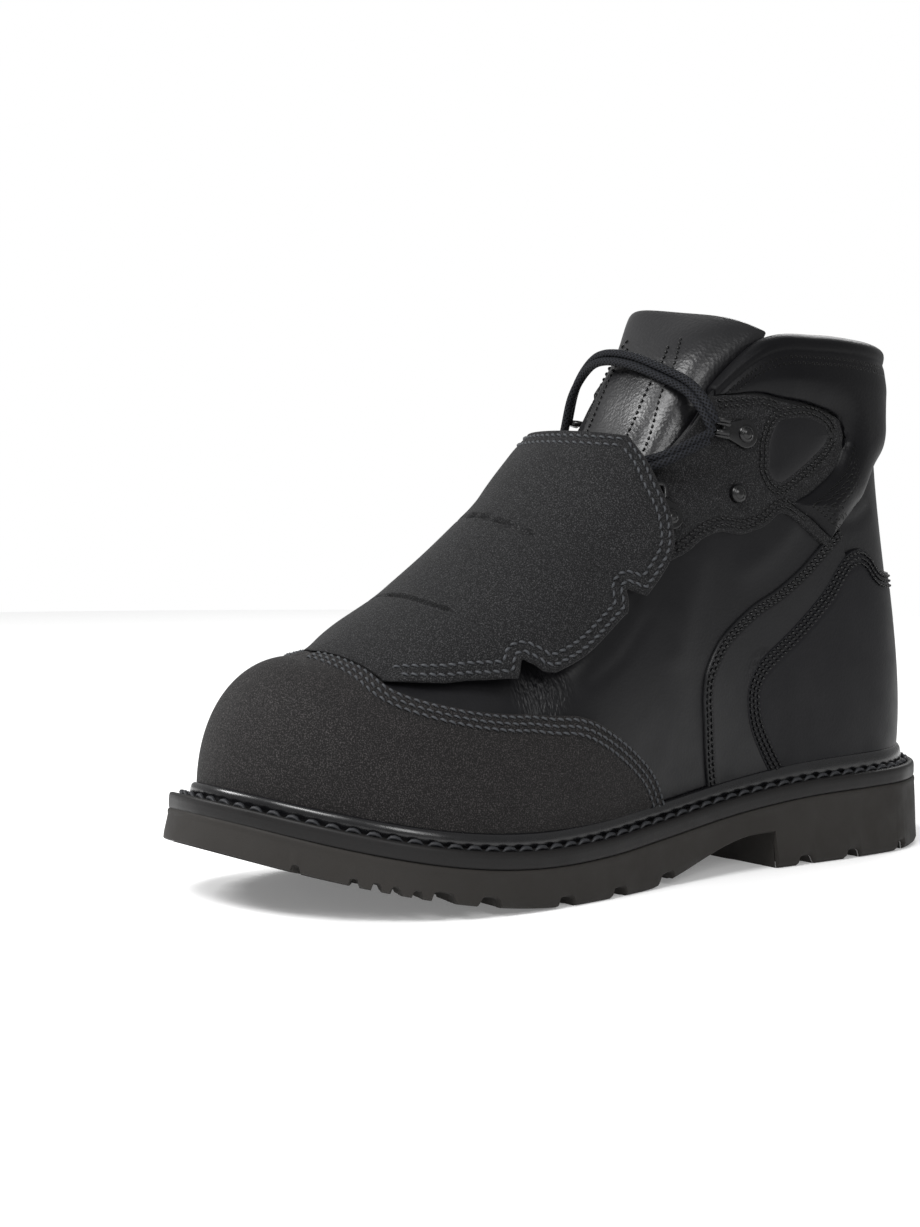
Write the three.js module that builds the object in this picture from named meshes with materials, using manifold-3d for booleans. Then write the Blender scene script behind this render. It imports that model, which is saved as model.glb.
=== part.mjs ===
// Work boot for the left foot with a metatarsal guard over the lacing.
// Millimetres, +Z up, toe towards -Y, outer side of the foot towards +X.
// Every form is read from the named sizes and the short tables below.
import * as THREE from 'three';
import Module from 'manifold-3d';

const wasm = await Module();
wasm.setup();

// Main sizes of the boot.
const SOLE_LENGTH = 312;
const BALL_WIDTH = 117;
const HEEL_WIDTH = 82;
const HEEL_TOP = 31.7;
const COLLAR_HEIGHT = 188;
const COLLAR_WIDTH = 73;

// Sole.
const WELT_THICKNESS = 2.4;
const MIDSOLE_THICKNESS = 3.0;
const INSOLE_THICKNESS = 3.2;
const TOE_SPRING = 21;
const ARCH_HEIGHT = 13;
const HEEL_LENGTH = 100;
const LUG_DEPTH = 4;
const RIM_LUG_LENGTH = 21;
const CHANNEL_WIDTH = 6;
const CHANNEL_END = -0.07;
const NOTCH_WIDTH = 7;
const NOTCH_DEPTH = 3.2;
const STEP_RIDGE = 0.7;
const TOE_TRIM = 2.4;

// Upper.
const WALL = 3;
const CAP_THICKNESS = 1.3;
const OVERLAY_THICKNESS = 1.2;
const COUNTER_THICKNESS = 1.5;
const COLLAR_PAD = 5.5;
const COLLAR_LINING = 2.5;
const GUARD_THICKNESS = 5;
const TONGUE_THICKNESS = 5;
const GAP = 0.35;
const OVERLAY_GAP = 0.6;

// Hardware and lace.
const RIVET_DIAMETER = 6.6;
const HOOK_PLATE = 10.5;
const HOOK_WIRE = 2.4;
const RING_WIRE = 2.2;
const RING_WIDTH = 9;
const LACE_DIAMETER = 3.3;

// Stations run from 0 at the heel to 48 at the toe on each side of the boot.
const STATIONS = 48;
const SIDE_STEPS = 10;
const RIDGE_STATION = 31;
const POLE_STATION = 40;
const AROUND = [
  0, 1, 2, 3, 4, 5, 6.2, 7.7, 9.3, 10.1, 11.5, 14, 16, 18, 20, 22, 24, 26, 28, 29.5, 31,
  33, 35, 37, 38, 39, 40, 41, 42, 43, 44, 45, 46, 47, 48,
];

// Plan of the sole's edge. along is the share of the length from the heel,
// lateral and medial are shares of the named width.
const OUTLINE = [
  { along: 0.000, width: HEEL_WIDTH, lateral: 0.000, medial: 0.000 },
  { along: 0.012, width: HEEL_WIDTH, lateral: 0.190, medial: -0.190 },
  { along: 0.045, width: HEEL_WIDTH, lateral: 0.345, medial: -0.335 },
  { along: 0.100, width: HEEL_WIDTH, lateral: 0.460, medial: -0.440 },
  { along: 0.170, width: HEEL_WIDTH, lateral: 0.500, medial: -0.475 },
  { along: 0.260, width: HEEL_WIDTH, lateral: 0.510, medial: -0.465 },
  { along: 0.380, width: BALL_WIDTH, lateral: 0.365, medial: -0.300 },
  { along: 0.500, width: BALL_WIDTH, lateral: 0.410, medial: -0.330 },
  { along: 0.610, width: BALL_WIDTH, lateral: 0.472, medial: -0.400 },
  { along: 0.710, width: BALL_WIDTH, lateral: 0.505, medial: -0.465 },
  { along: 0.790, width: BALL_WIDTH, lateral: 0.495, medial: -0.495 },
  { along: 0.860, width: BALL_WIDTH, lateral: 0.435, medial: -0.490 },
  { along: 0.920, width: BALL_WIDTH, lateral: 0.335, medial: -0.445 },
  { along: 0.965, width: BALL_WIDTH, lateral: 0.205, medial: -0.360 },
  { along: 0.990, width: BALL_WIDTH, lateral: 0.065, medial: -0.250 },
  { along: 1.000, width: BALL_WIDTH, lateral: -0.080, medial: -0.080 },
];

// Height of the welt's top as a share of its height at the heel.
const EDGE_LINE = [
  { along: 0.00, high: 1.000 },
  { along: 0.15, high: 0.987 },
  { along: 0.27, high: 0.953 },
  { along: 0.38, high: 0.852 },
  { along: 0.50, high: 0.713 },
  { along: 0.60, high: 0.631 },
  { along: 0.70, high: 0.618 },
  { along: 0.80, high: 0.707 },
  { along: 0.90, high: 0.902 },
  { along: 1.00, high: 1.177 },
];

// Sides of the upper, one row per station on both halves. back, side and high
// place the top edge as shares of the sole's length, the collar's width and
// height. rise, drop and reach shape the curve from the foot to the top edge,
// bulge and swell push it outwards in mm, shelf is the welt left showing.
const SIDES = [
  {
    station: 0, back: 0.418, side: 0.000, high: 0.979,
    rise: 0.32, bulge: 7, drop: 0.33, reach: -1.05, swell: 0, shelf: 9,
  },
  {
    station: 3, back: 0.409, side: 0.226, high: 0.981,
    rise: 0.32, bulge: 6.5, drop: 0.33, reach: -0.86, swell: 0, shelf: 9,
  },
  {
    station: 5, back: 0.378, side: 0.377, high: 0.987,
    rise: 0.32, bulge: 6.5, drop: 0.33, reach: -0.53, swell: -1, shelf: 9,
  },
  {
    station: 8, back: 0.327, side: 0.468, high: 0.995,
    rise: 0.32, bulge: 7, drop: 0.33, reach: 0.00, swell: -2, shelf: 9,
  },
  {
    station: 12, back: 0.250, side: 0.500, high: 1.000,
    rise: 0.32, bulge: 8, drop: 0.33, reach: 0.00, swell: 0, shelf: 9,
  },
  {
    station: 16, back: 0.173, side: 0.486, high: 0.989,
    rise: 0.34, bulge: 10, drop: 0.33, reach: 0.00, swell: 2, shelf: 9,
  },
  {
    station: 19, back: 0.109, side: 0.445, high: 0.915,
    rise: 0.36, bulge: 11, drop: 0.30, reach: 0.20, swell: 4, shelf: 9,
  },
  {
    station: 22, back: 0.071, side: 0.411, high: 0.835,
    rise: 0.38, bulge: 11, drop: 0.28, reach: 0.45, swell: 5, shelf: 9,
  },
  {
    station: 25, back: 0.010, side: 0.363, high: 0.739,
    rise: 0.40, bulge: 9, drop: 0.24, reach: 0.62, swell: 4, shelf: 9,
  },
  {
    station: 27.5, back: -0.058, side: 0.288, high: 0.660,
    rise: 0.42, bulge: 7, drop: 0.18, reach: 0.74, swell: 3, shelf: 9,
  },
  {
    station: 29.3, back: -0.119, side: 0.171, high: 0.580,
    rise: 0.44, bulge: 5, drop: 0.10, reach: 0.68, swell: 2, shelf: 9,
  },
  {
    station: 31, back: -0.167, side: 0.000, high: 0.535,
    rise: 0.46, bulge: 4, drop: 0.00, reach: 0.64, swell: 0, shelf: 9,
  },
  {
    station: 36, back: -0.260, side: 0.000, high: 0.460,
    rise: 0.52, bulge: 3, drop: 0.00, reach: 0.62, swell: 0, shelf: 10,
  },
  {
    station: 40, back: -0.372, side: 0.000, high: 0.419,
    rise: 0.58, bulge: 2, drop: 0.00, reach: 0.60, swell: 0, shelf: 11.5,
  },
  {
    station: 44, back: -0.372, side: 0.000, high: 0.419,
    rise: 0.62, bulge: 2, drop: 0.00, reach: 0.58, swell: 0, shelf: 13,
  },
  {
    station: 48, back: -0.372, side: 0.000, high: 0.419,
    rise: 0.64, bulge: 1.5, drop: 0.00, reach: 0.56, swell: 0, shelf: 13.5,
  },
];

// Sideways place of the middle line over the forefoot, share of the ball width.
const MIDDLE = [
  { station: 0, lean: 0.000 },
  { station: 25, lean: 0.000 },
  { station: 31, lean: -0.008 },
  { station: 36, lean: -0.034 },
  { station: 40, lean: -0.068 },
];

// Seams on the upper: rise is the share of the way up the side at a station.
const CAP_SEAM = [
  { station: 23.2, rise: 0.070 },
  { station: 24.4, rise: 0.135 },
  { station: 26.0, rise: 0.235 },
  { station: 28.2, rise: 0.330 },
  { station: 30.6, rise: 0.365 },
  { station: 34.3, rise: 0.425 },
  { station: 37.0, rise: 0.520 },
  { station: 37.8, rise: 0.630 },
  { station: 38.4, rise: 0.780 },
  { station: 39.0, rise: 1.000 },
];
const COUNTER_TOP = [
  { station: 0.0, rise: 0.500 },
  { station: 4.0, rise: 0.487 },
  { station: 6.6, rise: 0.490 },
  { station: 7.8, rise: 0.525 },
  { station: 8.8, rise: 0.540 },
  { station: 10.0, rise: 0.530 },
  { station: 11.3, rise: 0.475 },
  { station: 13.1, rise: 0.415 },
  { station: 14.8, rise: 0.355 },
  { station: 15.9, rise: 0.320 },
  { station: 16.7, rise: 0.270 },
  { station: 17.2, rise: 0.215 },
];
const COUNTER_FOOT = [
  { station: 0.0, rise: 0.045 },
  { station: 15.2, rise: 0.045 },
  { station: 16.3, rise: 0.095 },
  { station: 17.2, rise: 0.190 },
];
const SADDLE_TOP = [
  { station: 10.5, rise: 0.595 },
  { station: 11.5, rise: 0.555 },
  { station: 13.3, rise: 0.490 },
  { station: 15.7, rise: 0.440 },
  { station: 17.5, rise: 0.420 },
  { station: 19.2, rise: 0.380 },
  { station: 20.2, rise: 0.330 },
  { station: 20.7, rise: 0.280 },
];
const SADDLE_FOOT = [
  { station: 10.5, rise: 0.548 },
  { station: 11.5, rise: 0.485 },
  { station: 13.3, rise: 0.425 },
  { station: 14.8, rise: 0.372 },
  { station: 15.9, rise: 0.337 },
  { station: 16.8, rise: 0.290 },
  { station: 17.4, rise: 0.225 },
  { station: 17.8, rise: 0.120 },
  { station: 18.6, rise: 0.062 },
  { station: 19.4, rise: 0.105 },
  { station: 20.3, rise: 0.190 },
  { station: 20.7, rise: 0.240 },
];
const COLLAR_SEAM = [
  { station: 0.0, rise: 0.780 },
  { station: 3.0, rise: 0.775 },
  { station: 6.4, rise: 0.735 },
  { station: 8.5, rise: 0.655 },
  { station: 9.3, rise: 0.640 },
  { station: 10.1, rise: 0.790 },
  { station: 11.5, rise: 0.852 },
  { station: 12.5, rise: 0.862 },
  { station: 15.2, rise: 0.882 },
  { station: 17.5, rise: 0.930 },
  { station: 19.0, rise: 0.975 },
];
const EYESTAY_FOOT = [
  { station: 11.0, rise: 0.752 },
  { station: 11.6, rise: 0.722 },
  { station: 13.0, rise: 0.680 },
  { station: 14.8, rise: 0.636 },
  { station: 16.1, rise: 0.610 },
  { station: 17.5, rise: 0.606 },
  { station: 19.2, rise: 0.640 },
  { station: 21.0, rise: 0.665 },
  { station: 22.8, rise: 0.660 },
  { station: 26.5, rise: 0.700 },
];
const EYESTAY_TOP = [
  { station: 11.0, rise: 0.805 },
  { station: 11.5, rise: 0.832 },
  { station: 12.5, rise: 0.848 },
  { station: 15.2, rise: 0.868 },
  { station: 17.5, rise: 0.914 },
  { station: 19.2, rise: 0.962 },
  { station: 20.2, rise: 0.985 },
  { station: 22.8, rise: 0.985 },
  { station: 26.5, rise: 0.985 },
];

// Metatarsal guard, rows from its toe end to its free top. back and high place
// the middle, edge_side, edge_back and edge_high the free edge, as shares of
// the sole's length, collar height and ball width; lean shifts the middle
// sideways, thick is a share of the guard's thickness.
const GUARD = [
  {
    back: -0.340, lean: -0.055, high: 0.450,
    edge_side: 0.205, edge_back: -0.317, edge_high: 0.396, thick: 0.34,
  },
  {
    back: -0.304, lean: -0.044, high: 0.475,
    edge_side: 0.300, edge_back: -0.272, edge_high: 0.391, thick: 0.45,
  },
  {
    back: -0.256, lean: -0.030, high: 0.520,
    edge_side: 0.368, edge_back: -0.218, edge_high: 0.394, thick: 0.72,
  },
  {
    back: -0.240, lean: -0.026, high: 0.536,
    edge_side: 0.385, edge_back: -0.202, edge_high: 0.404, thick: 0.80,
  },
  {
    back: -0.228, lean: -0.024, high: 0.549,
    edge_side: 0.368, edge_back: -0.191, edge_high: 0.426, thick: 0.85,
  },
  {
    back: -0.215, lean: -0.021, high: 0.566,
    edge_side: 0.408, edge_back: -0.174, edge_high: 0.399, thick: 0.90,
  },
  {
    back: -0.173, lean: -0.010, high: 0.624,
    edge_side: 0.419, edge_back: -0.122, edge_high: 0.436, thick: 1.00,
  },
  {
    back: -0.131, lean: -0.006, high: 0.683,
    edge_side: 0.410, edge_back: -0.067, edge_high: 0.505, thick: 1.00,
  },
  {
    back: -0.117, lean: -0.004, high: 0.704,
    edge_side: 0.382, edge_back: -0.061, edge_high: 0.541, thick: 1.00,
  },
  {
    back: -0.103, lean: -0.003, high: 0.727,
    edge_side: 0.410, edge_back: -0.036, edge_high: 0.535, thick: 1.00,
  },
  {
    back: -0.087, lean: -0.002, high: 0.756,
    edge_side: 0.420, edge_back: -0.006, edge_high: 0.590, thick: 1.00,
  },
  {
    back: -0.071, lean: 0.000, high: 0.784,
    edge_side: 0.396, edge_back: 0.006, edge_high: 0.660, thick: 1.00,
  },
  {
    back: -0.054, lean: 0.000, high: 0.810,
    edge_side: 0.336, edge_back: 0.005, edge_high: 0.745, thick: 0.85,
  },
  {
    back: -0.042, lean: 0.000, high: 0.832,
    edge_side: 0.228, edge_back: -0.004, edge_high: 0.822, thick: 0.85,
  },
];

// Tongue, rows from its root to its padded top. back and high place the front
// face's middle, half is a share of the collar's width, wrap how far its sides
// turn back in mm, thick a share of the tongue's thickness.
const TONGUE = [
  { back: -0.154, high: 0.5205, half: 0.210, wrap: 3.0, thick: 0.6 },
  { back: -0.109, high: 0.560, half: 0.255, wrap: 5.0, thick: 0.8 },
  { back: -0.054, high: 0.640, half: 0.290, wrap: 7.0, thick: 1.0 },
  { back: -0.003, high: 0.735, half: 0.320, wrap: 9.0, thick: 1.0 },
  { back: 0.037, high: 0.832, half: 0.345, wrap: 11.5, thick: 1.0 },
  { back: 0.061, high: 0.905, half: 0.365, wrap: 12.5, thick: 1.1 },
  { back: 0.085, high: 0.968, half: 0.372, wrap: 12.0, thick: 1.4 },
  { back: 0.112, high: 1.022, half: 0.388, wrap: 12.0, thick: 1.8 },
  { back: 0.138, high: 1.060, half: 0.402, wrap: 11.0, thick: 1.9 },
  { back: 0.154, high: 1.074, half: 0.395, wrap: 10.0, thick: 1.1 },
];

// Cuts in the sole's edge on both sides: station, and width as a share of the notch.
const NOTCHES = [
  { station: 7.1, wide: 0.8 },
  { station: 9.8, wide: 1.0 },
  { station: 13.3, wide: 1.0 },
  { station: 23.2, wide: 1.0 },
  { station: 26.0, wide: 1.0 },
  { station: 29.9, wide: 1.0 },
  { station: 33.5, wide: 1.0 },
  { station: 35.6, wide: 1.0 },
  { station: 37.0, wide: 0.4 },
  { station: 37.9, wide: 0.4 },
  { station: 39.5, wide: 0.4 },
  { station: 42.0, wide: 0.4 },
  { station: 45.6, wide: 0.4 },
];
// Cross channels between the middle lugs: share of the length from the heel.
const CROSS_CHANNELS = [0.13, 0.21, 0.62, 0.69, 0.76, 0.83, 0.90];

const vec = (x, y, z) => new THREE.Vector3(x, y, z);

// Value of a table's column at a key, on a curve through the rows.
function curve(rows, key, column, at) {
  const last = rows.length - 1;
  const here = Math.min(Math.max(at, rows[0][key]), rows[last][key]);
  let i = 0;
  while (i < last - 1 && rows[i + 1][key] <= here) i += 1;
  const slope = (k) => {
    const low = Math.max(k - 1, 0);
    const high = Math.min(k + 1, last);
    return (rows[high][column] - rows[low][column]) / (rows[high][key] - rows[low][key]);
  };
  const span = rows[i + 1][key] - rows[i][key];
  const t = (here - rows[i][key]) / span;
  const t2 = t * t;
  const t3 = t2 * t;
  return (2 * t3 - 3 * t2 + 1) * rows[i][column] + (t3 - 2 * t2 + t) * span * slope(i)
    + (3 * t2 - 2 * t3) * rows[i + 1][column] + (t3 - t2) * span * slope(i + 1);
}

// The sole's edge as a closed loop from the heel by the lateral side, with its arc lengths.
function outlineLoop() {
  const place = (row, share) => ({ x: row[share] * row.width, y: SOLE_LENGTH * (0.5 - row.along) });
  const lateral = OUTLINE.map((row) => place(row, 'lateral'));
  const medial = OUTLINE.slice(1, -1).map((row) => place(row, 'medial')).reverse();
  const ring = [...lateral, ...medial];
  const count = ring.length;
  const rows = [];
  let length = 0;
  for (let i = -2; i <= count + 2; i += 1) {
    const point = ring[(i + count) % count];
    if (i > -2) {
      const before = ring[(i - 1 + count) % count];
      length += Math.hypot(point.x - before.x, point.y - before.y);
    }
    rows.push({ run: length, x: point.x, y: point.y });
  }
  const start = rows[2].run;
  const end = rows[count + 2].run;
  const steps = 1440;
  const points = [];
  let arc = 0;
  for (let i = 0; i <= steps; i += 1) {
    const run = start + (end - start) * i / steps;
    const point = { x: curve(rows, 'run', 'x', run), y: curve(rows, 'run', 'y', run) };
    if (i > 0) arc += Math.hypot(point.x - points[i - 1].x, point.y - points[i - 1].y);
    points.push({ ...point, arc });
  }
  return points;
}

const LOOP = outlineLoop();
const LOOP_LENGTH = LOOP[LOOP.length - 1].arc;
const TOE_ARC = LOOP.reduce((low, point) => (point.y < low.y ? point : low)).arc;

function loopPoint(arc) {
  const at = ((arc % LOOP_LENGTH) + LOOP_LENGTH) % LOOP_LENGTH;
  let low = 0;
  let high = LOOP.length - 1;
  while (high - low > 1) {
    const middle = Math.floor((low + high) / 2);
    if (LOOP[middle].arc <= at) low = middle;
    else high = middle;
  }
  const t = (at - LOOP[low].arc) / (LOOP[high].arc - LOOP[low].arc);
  return {
    x: LOOP[low].x * (1 - t) + LOOP[high].x * t,
    y: LOOP[low].y * (1 - t) + LOOP[high].y * t,
  };
}

// Point of the sole's edge grown outwards. station is 0 at the heel and
// 48 at the toe, positive on the lateral side, negative on the medial side.
function edge(station, grow) {
  const share = station / STATIONS;
  const arc = share >= 0 ? share * TOE_ARC : LOOP_LENGTH + share * (LOOP_LENGTH - TOE_ARC);
  const point = loopPoint(arc);
  const before = loopPoint(arc - 2);
  const after = loopPoint(arc + 2);
  const run = Math.hypot(after.x - before.x, after.y - before.y);
  return vec(
    point.x - (after.y - before.y) / run * grow,
    point.y + (after.x - before.x) / run * grow,
    0,
  );
}

const along = (y) => 0.5 - y / SOLE_LENGTH;
const edgeTop = (y) => HEEL_TOP * curve(EDGE_LINE, 'along', 'high', along(y));

// Underside of the sole: flat under the ball, rising to the toe and into the arch.
function underside(y) {
  const toe = Math.max((along(y) - 0.64) / 0.36, 0);
  const arch = Math.min(Math.max((0.545 - along(y)) / 0.2, 0), 1);
  return TOE_SPRING * toe ** 1.8 + ARCH_HEIGHT * arch * arch * (3 - 2 * arch);
}

// Welds triangles into a closed geometry that faces outwards.
function solid(triangles) {
  const index = new Map();
  const positions = [];
  const faces = [];
  const corner = (point) => {
    const key = [point.x, point.y, point.z].map((value) => Math.round(value * 2000)).join();
    if (!index.has(key)) {
      index.set(key, positions.length / 3);
      positions.push(point.x, point.y, point.z);
    }
    return index.get(key);
  };
  let volume = 0;
  for (const [a, b, c] of triangles) {
    const face = [corner(a), corner(b), corner(c)];
    if (face[0] !== face[1] && face[1] !== face[2] && face[2] !== face[0]) {
      faces.push(face);
      volume += a.dot(vec(0, 0, 0).crossVectors(b, c));
    }
  }
  const order = volume < 0 ? faces.map(([a, b, c]) => [a, c, b]) : faces;
  const geometry = new THREE.BufferGeometry();
  geometry.setAttribute('position', new THREE.Float32BufferAttribute(positions, 3));
  geometry.setIndex(order.flat());
  return geometry;
}

function quad(triangles, a, b, c, d) {
  triangles.push([a, b, c], [a, c, d]);
}

// Closed body between two grids of points. around joins the first and last
// columns, openTop(i) is false where the top edge of column i is a closed ridge.
function between(outer, inner, around = false, openTop = () => true) {
  const triangles = [];
  const columns = outer.length;
  const rows = outer[0].length;
  const spans = around ? columns : columns - 1;
  for (let i = 0; i < spans; i += 1) {
    const k = (i + 1) % columns;
    for (let j = 0; j < rows - 1; j += 1) {
      quad(triangles, outer[i][j], outer[k][j], outer[k][j + 1], outer[i][j + 1]);
      quad(triangles, inner[i][j + 1], inner[k][j + 1], inner[k][j], inner[i][j]);
    }
    quad(triangles, inner[i][0], inner[k][0], outer[k][0], outer[i][0]);
    if (openTop(i)) {
      quad(triangles, outer[i][rows - 1], outer[k][rows - 1], inner[k][rows - 1], inner[i][rows - 1]);
    }
  }
  if (!around) {
    for (let j = 0; j < rows - 1; j += 1) {
      const end = columns - 1;
      quad(triangles, inner[0][j], outer[0][j], outer[0][j + 1], inner[0][j + 1]);
      quad(triangles, outer[end][j], inner[end][j], inner[end][j + 1], outer[end][j + 1]);
    }
  }
  return solid(triangles);
}

const toManifold = (geometry) => new wasm.Manifold(new wasm.Mesh({
  numProp: 3,
  vertProperties: new Float32Array(geometry.getAttribute('position').array),
  triVerts: new Uint32Array(geometry.getIndex().array),
}));

function fromManifold(body) {
  const mesh = body.getMesh();
  const geometry = new THREE.BufferGeometry();
  const points = [];
  for (let i = 0; i < mesh.vertProperties.length; i += mesh.numProp) {
    points.push(mesh.vertProperties[i], mesh.vertProperties[i + 1], mesh.vertProperties[i + 2]);
  }
  geometry.setAttribute('position', new THREE.Float32BufferAttribute(points, 3));
  geometry.setIndex(Array.from(mesh.triVerts));
  return geometry;
}

// Any three.js geometry welded by position, ready to join or cut.
function welded(geometry) {
  const flat = geometry.index ? geometry.toNonIndexed() : geometry;
  const position = flat.getAttribute('position');
  const triangles = [];
  const corner = (i) => vec(position.getX(i), position.getY(i), position.getZ(i));
  for (let i = 0; i < position.count; i += 3) {
    triangles.push([corner(i), corner(i + 1), corner(i + 2)]);
  }
  return solid(triangles);
}

// Stations right round the boot, by the lateral side out and the medial side back.
const ROUND = [...AROUND, ...AROUND.slice(1, -1).reverse().map((station) => -station)];

const asFunction = (value) => (typeof value === 'function' ? value : () => value);

// Solid under the whole outline, from levels of { grow, height(y) } going up.
function slab(levels) {
  const ring = (level) => AROUND.map((station) => [1, -1].map((half) => {
    const point = edge(station * half, asFunction(level.grow)(station));
    point.z = level.height(point.y);
    return point;
  }));
  const rings = levels.map(ring);
  const triangles = [];
  for (let i = 0; i < AROUND.length - 1; i += 1) {
    for (let k = 0; k < rings.length - 1; k += 1) {
      const [low, high] = [rings[k], rings[k + 1]];
      quad(triangles, low[i][0], high[i][0], high[i + 1][0], low[i + 1][0]);
      quad(triangles, low[i][1], low[i + 1][1], high[i + 1][1], high[i][1]);
    }
    const bottom = rings[0];
    const top = rings[rings.length - 1];
    quad(triangles, bottom[i][0], bottom[i + 1][0], bottom[i + 1][1], bottom[i][1]);
    quad(triangles, top[i][0], top[i][1], top[i + 1][1], top[i + 1][0]);
  }
  return solid(triangles);
}

// Closed strip round the whole outline, from section points of { grow(station), up(y) }.
function strip(section) {
  const rings = section.map((corner) => ROUND.map((station) => {
    const point = edge(station, asFunction(corner.grow)(station));
    point.z = corner.up(point.y);
    return point;
  }));
  const triangles = [];
  for (let k = 0; k < rings.length; k += 1) {
    const next = rings[(k + 1) % rings.length];
    for (let i = 0; i < ROUND.length; i += 1) {
      const after = (i + 1) % ROUND.length;
      quad(triangles, rings[k][i], next[i], next[after], rings[k][after]);
    }
  }
  return solid(triangles);
}

// Straight block along a line, reaching below and above it.
function block(from, to, width, below, above) {
  const run = to.clone().sub(from);
  const geometry = new THREE.BoxGeometry(run.length(), width, below + above);
  geometry.translate(0, 0, (above - below) / 2);
  const ahead = run.normalize();
  const across = vec(-ahead.y, ahead.x, 0).normalize();
  const up = vec(0, 0, 0).crossVectors(ahead, across);
  geometry.applyMatrix4(new THREE.Matrix4().makeBasis(ahead, across, up));
  geometry.translate((from.x + to.x) / 2, (from.y + to.y) / 2, (from.z + to.z) / 2);
  return toManifold(welded(geometry));
}

// How far the welt and midsole stay inside the outsole's edge at the toe.
function toeTrim(station) {
  const t = Math.min(Math.max((Math.abs(station) - 36) / 10, 0), 1);
  return TOE_TRIM * t * t * (3 - 2 * t);
}

const shelf = (station) => curve(SIDES, 'station', 'shelf', Math.abs(station));

// Outer form of the upper before any offset.
function bareSide(station, rise) {
  const a = Math.abs(station);
  const reached = Math.min(a, POLE_STATION);
  const column = (name) => curve(SIDES, 'station', name, a);
  const half = a >= RIDGE_STATION ? 0 : Math.max(column('side'), 0) * COLLAR_WIDTH;
  const top = vec(
    Math.sign(station) * half + curve(MIDDLE, 'station', 'lean', reached) * BALL_WIDTH,
    curve(SIDES, 'station', 'back', reached) * SOLE_LENGTH,
    curve(SIDES, 'station', 'high', reached) * COLLAR_HEIGHT,
  );
  const foot = edge(station, -shelf(station));
  foot.z = edgeTop(foot.y) - WELT_THICKNESS;
  const out = edge(station, 1).sub(edge(station, 0));
  const high = top.z - foot.z;
  const inward = vec(foot.x - top.x, foot.y - top.y, 0);
  const low = foot.clone().add(vec(0, 0, high * column('rise'))).addScaledVector(out, column('bulge'));
  const upper = top.clone().add(vec(0, 0, -high * column('drop')))
    .addScaledVector(inward, column('reach')).addScaledVector(out, column('swell'));
  const t = rise;
  const s = 1 - t;
  return foot.multiplyScalar(s ** 3).addScaledVector(low, 3 * s * s * t)
    .addScaledVector(upper, 3 * s * t * t).addScaledVector(top, t ** 3);
}

// Unit normal of the upper's outer form at one side of a station.
function sideNormal(station, rise) {
  const step = 0.05;
  const level = Math.min(rise, 0.985);
  const low = Math.min(Math.max(rise - 0.004, 0), 0.99);
  const across = bareSide(station + step, level).sub(bareSide(station - step, level));
  const upward = bareSide(station, low + 0.008).sub(bareSide(station, low));
  const normal = vec(0, 0, 0).crossVectors(upward, across).normalize();
  return normal;
}

// The upper's outer form offset outwards by grow.
function side(station, rise, grow = 0) {
  const point = bareSide(station, rise);
  if (grow === 0) return point;
  const a = Math.abs(station);
  if (rise > 0.999 && a >= RIDGE_STATION) {
    const seat = Math.min(a, POLE_STATION);
    const normal = sideNormal(seat, 1).add(sideNormal(-seat, 1)).normalize();
    return point.addScaledVector(normal, grow);
  }
  if (a < 0.001 || a > STATIONS - 0.001) {
    return point.addScaledVector(sideNormal(a < 0.001 ? 0 : STATIONS - 0.01, rise), grow);
  }
  return point.addScaledVector(sideNormal(station, rise), grow);
}

// The stations between two stations, with both ends.
const stationsBetween = (from, to) => [
  from,
  ...AROUND.filter((station) => station > from + 0.2 && station < to - 0.2),
  to,
];

// Overlay on the upper between two seams, over a list of stations.
function overlay(stations, foot, top, steps, thickness, openTop) {
  const grid = (grow) => stations.map((station) => {
    const column = [];
    const low = foot(Math.abs(station));
    const high = top(Math.abs(station));
    for (let j = 0; j <= steps; j += 1) column.push(side(station, low + (high - low) * j / steps, grow));
    return column;
  });
  return between(grid(OVERLAY_GAP + thickness), grid(OVERLAY_GAP), false, openTop);
}

const seam = (rows) => (station) => curve(rows, 'station', 'rise', station);

// Upper: one shell with an even wall, open at the collar, the throat and below.
function makeUpper() {
  const grid = (grow) => ROUND.map((station) => {
    const column = [];
    for (let j = 0; j <= SIDE_STEPS; j += 1) column.push(side(station, j / SIDE_STEPS, grow));
    return column;
  });
  const lower = (i) => Math.min(Math.abs(ROUND[i]), Math.abs(ROUND[(i + 1) % ROUND.length]));
  return between(grid(0), grid(-WALL), true, (i) => lower(i) < RIDGE_STATION);
}

function makeToeCap() {
  const from = CAP_SEAM[0].station;
  const peak = CAP_SEAM[CAP_SEAM.length - 1].station;
  const near = [37.5, 37.8, 38, 38.2, 38.4, 38.6, 38.8];
  const lateral = [...stationsBetween(from, 37), ...near, ...stationsBetween(peak, STATIONS)];
  const medial = lateral.slice(0, -1).reverse().map((station) => -station);
  const stations = [...lateral, ...medial];
  const foot = (station) => 0.055 + 0.035 * Math.min(1, Math.max(0, (station - 34) / 10));
  const lower = (i) => Math.min(Math.abs(stations[i]), Math.abs(stations[i + 1]));
  const top = (station) => (station >= peak ? 1 : seam(CAP_SEAM)(station));
  return overlay(
    stations, (s) => Math.min(foot(s), top(s) - 0.012), top, 8, CAP_THICKNESS, (i) => lower(i) < peak,
  );
}

function makeCounter() {
  const half = COUNTER_TOP[COUNTER_TOP.length - 1].station;
  const one = stationsBetween(0, half);
  const stations = [...one.slice(1).reverse().map((station) => -station), ...one];
  return overlay(stations, seam(COUNTER_FOOT), seam(COUNTER_TOP), 5, COUNTER_THICKNESS);
}

function makeSaddle(sign) {
  const places = [10.5, 11.2, 12, 13, 14, 15, 16, 16.8, 17.4, 17.9, 18.6, 19.3, 20, 20.7];
  const stations = places.map((place) => place * sign);
  return overlay(stations, seam(SADDLE_FOOT), seam(SADDLE_TOP), 3, OVERLAY_THICKNESS);
}

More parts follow.
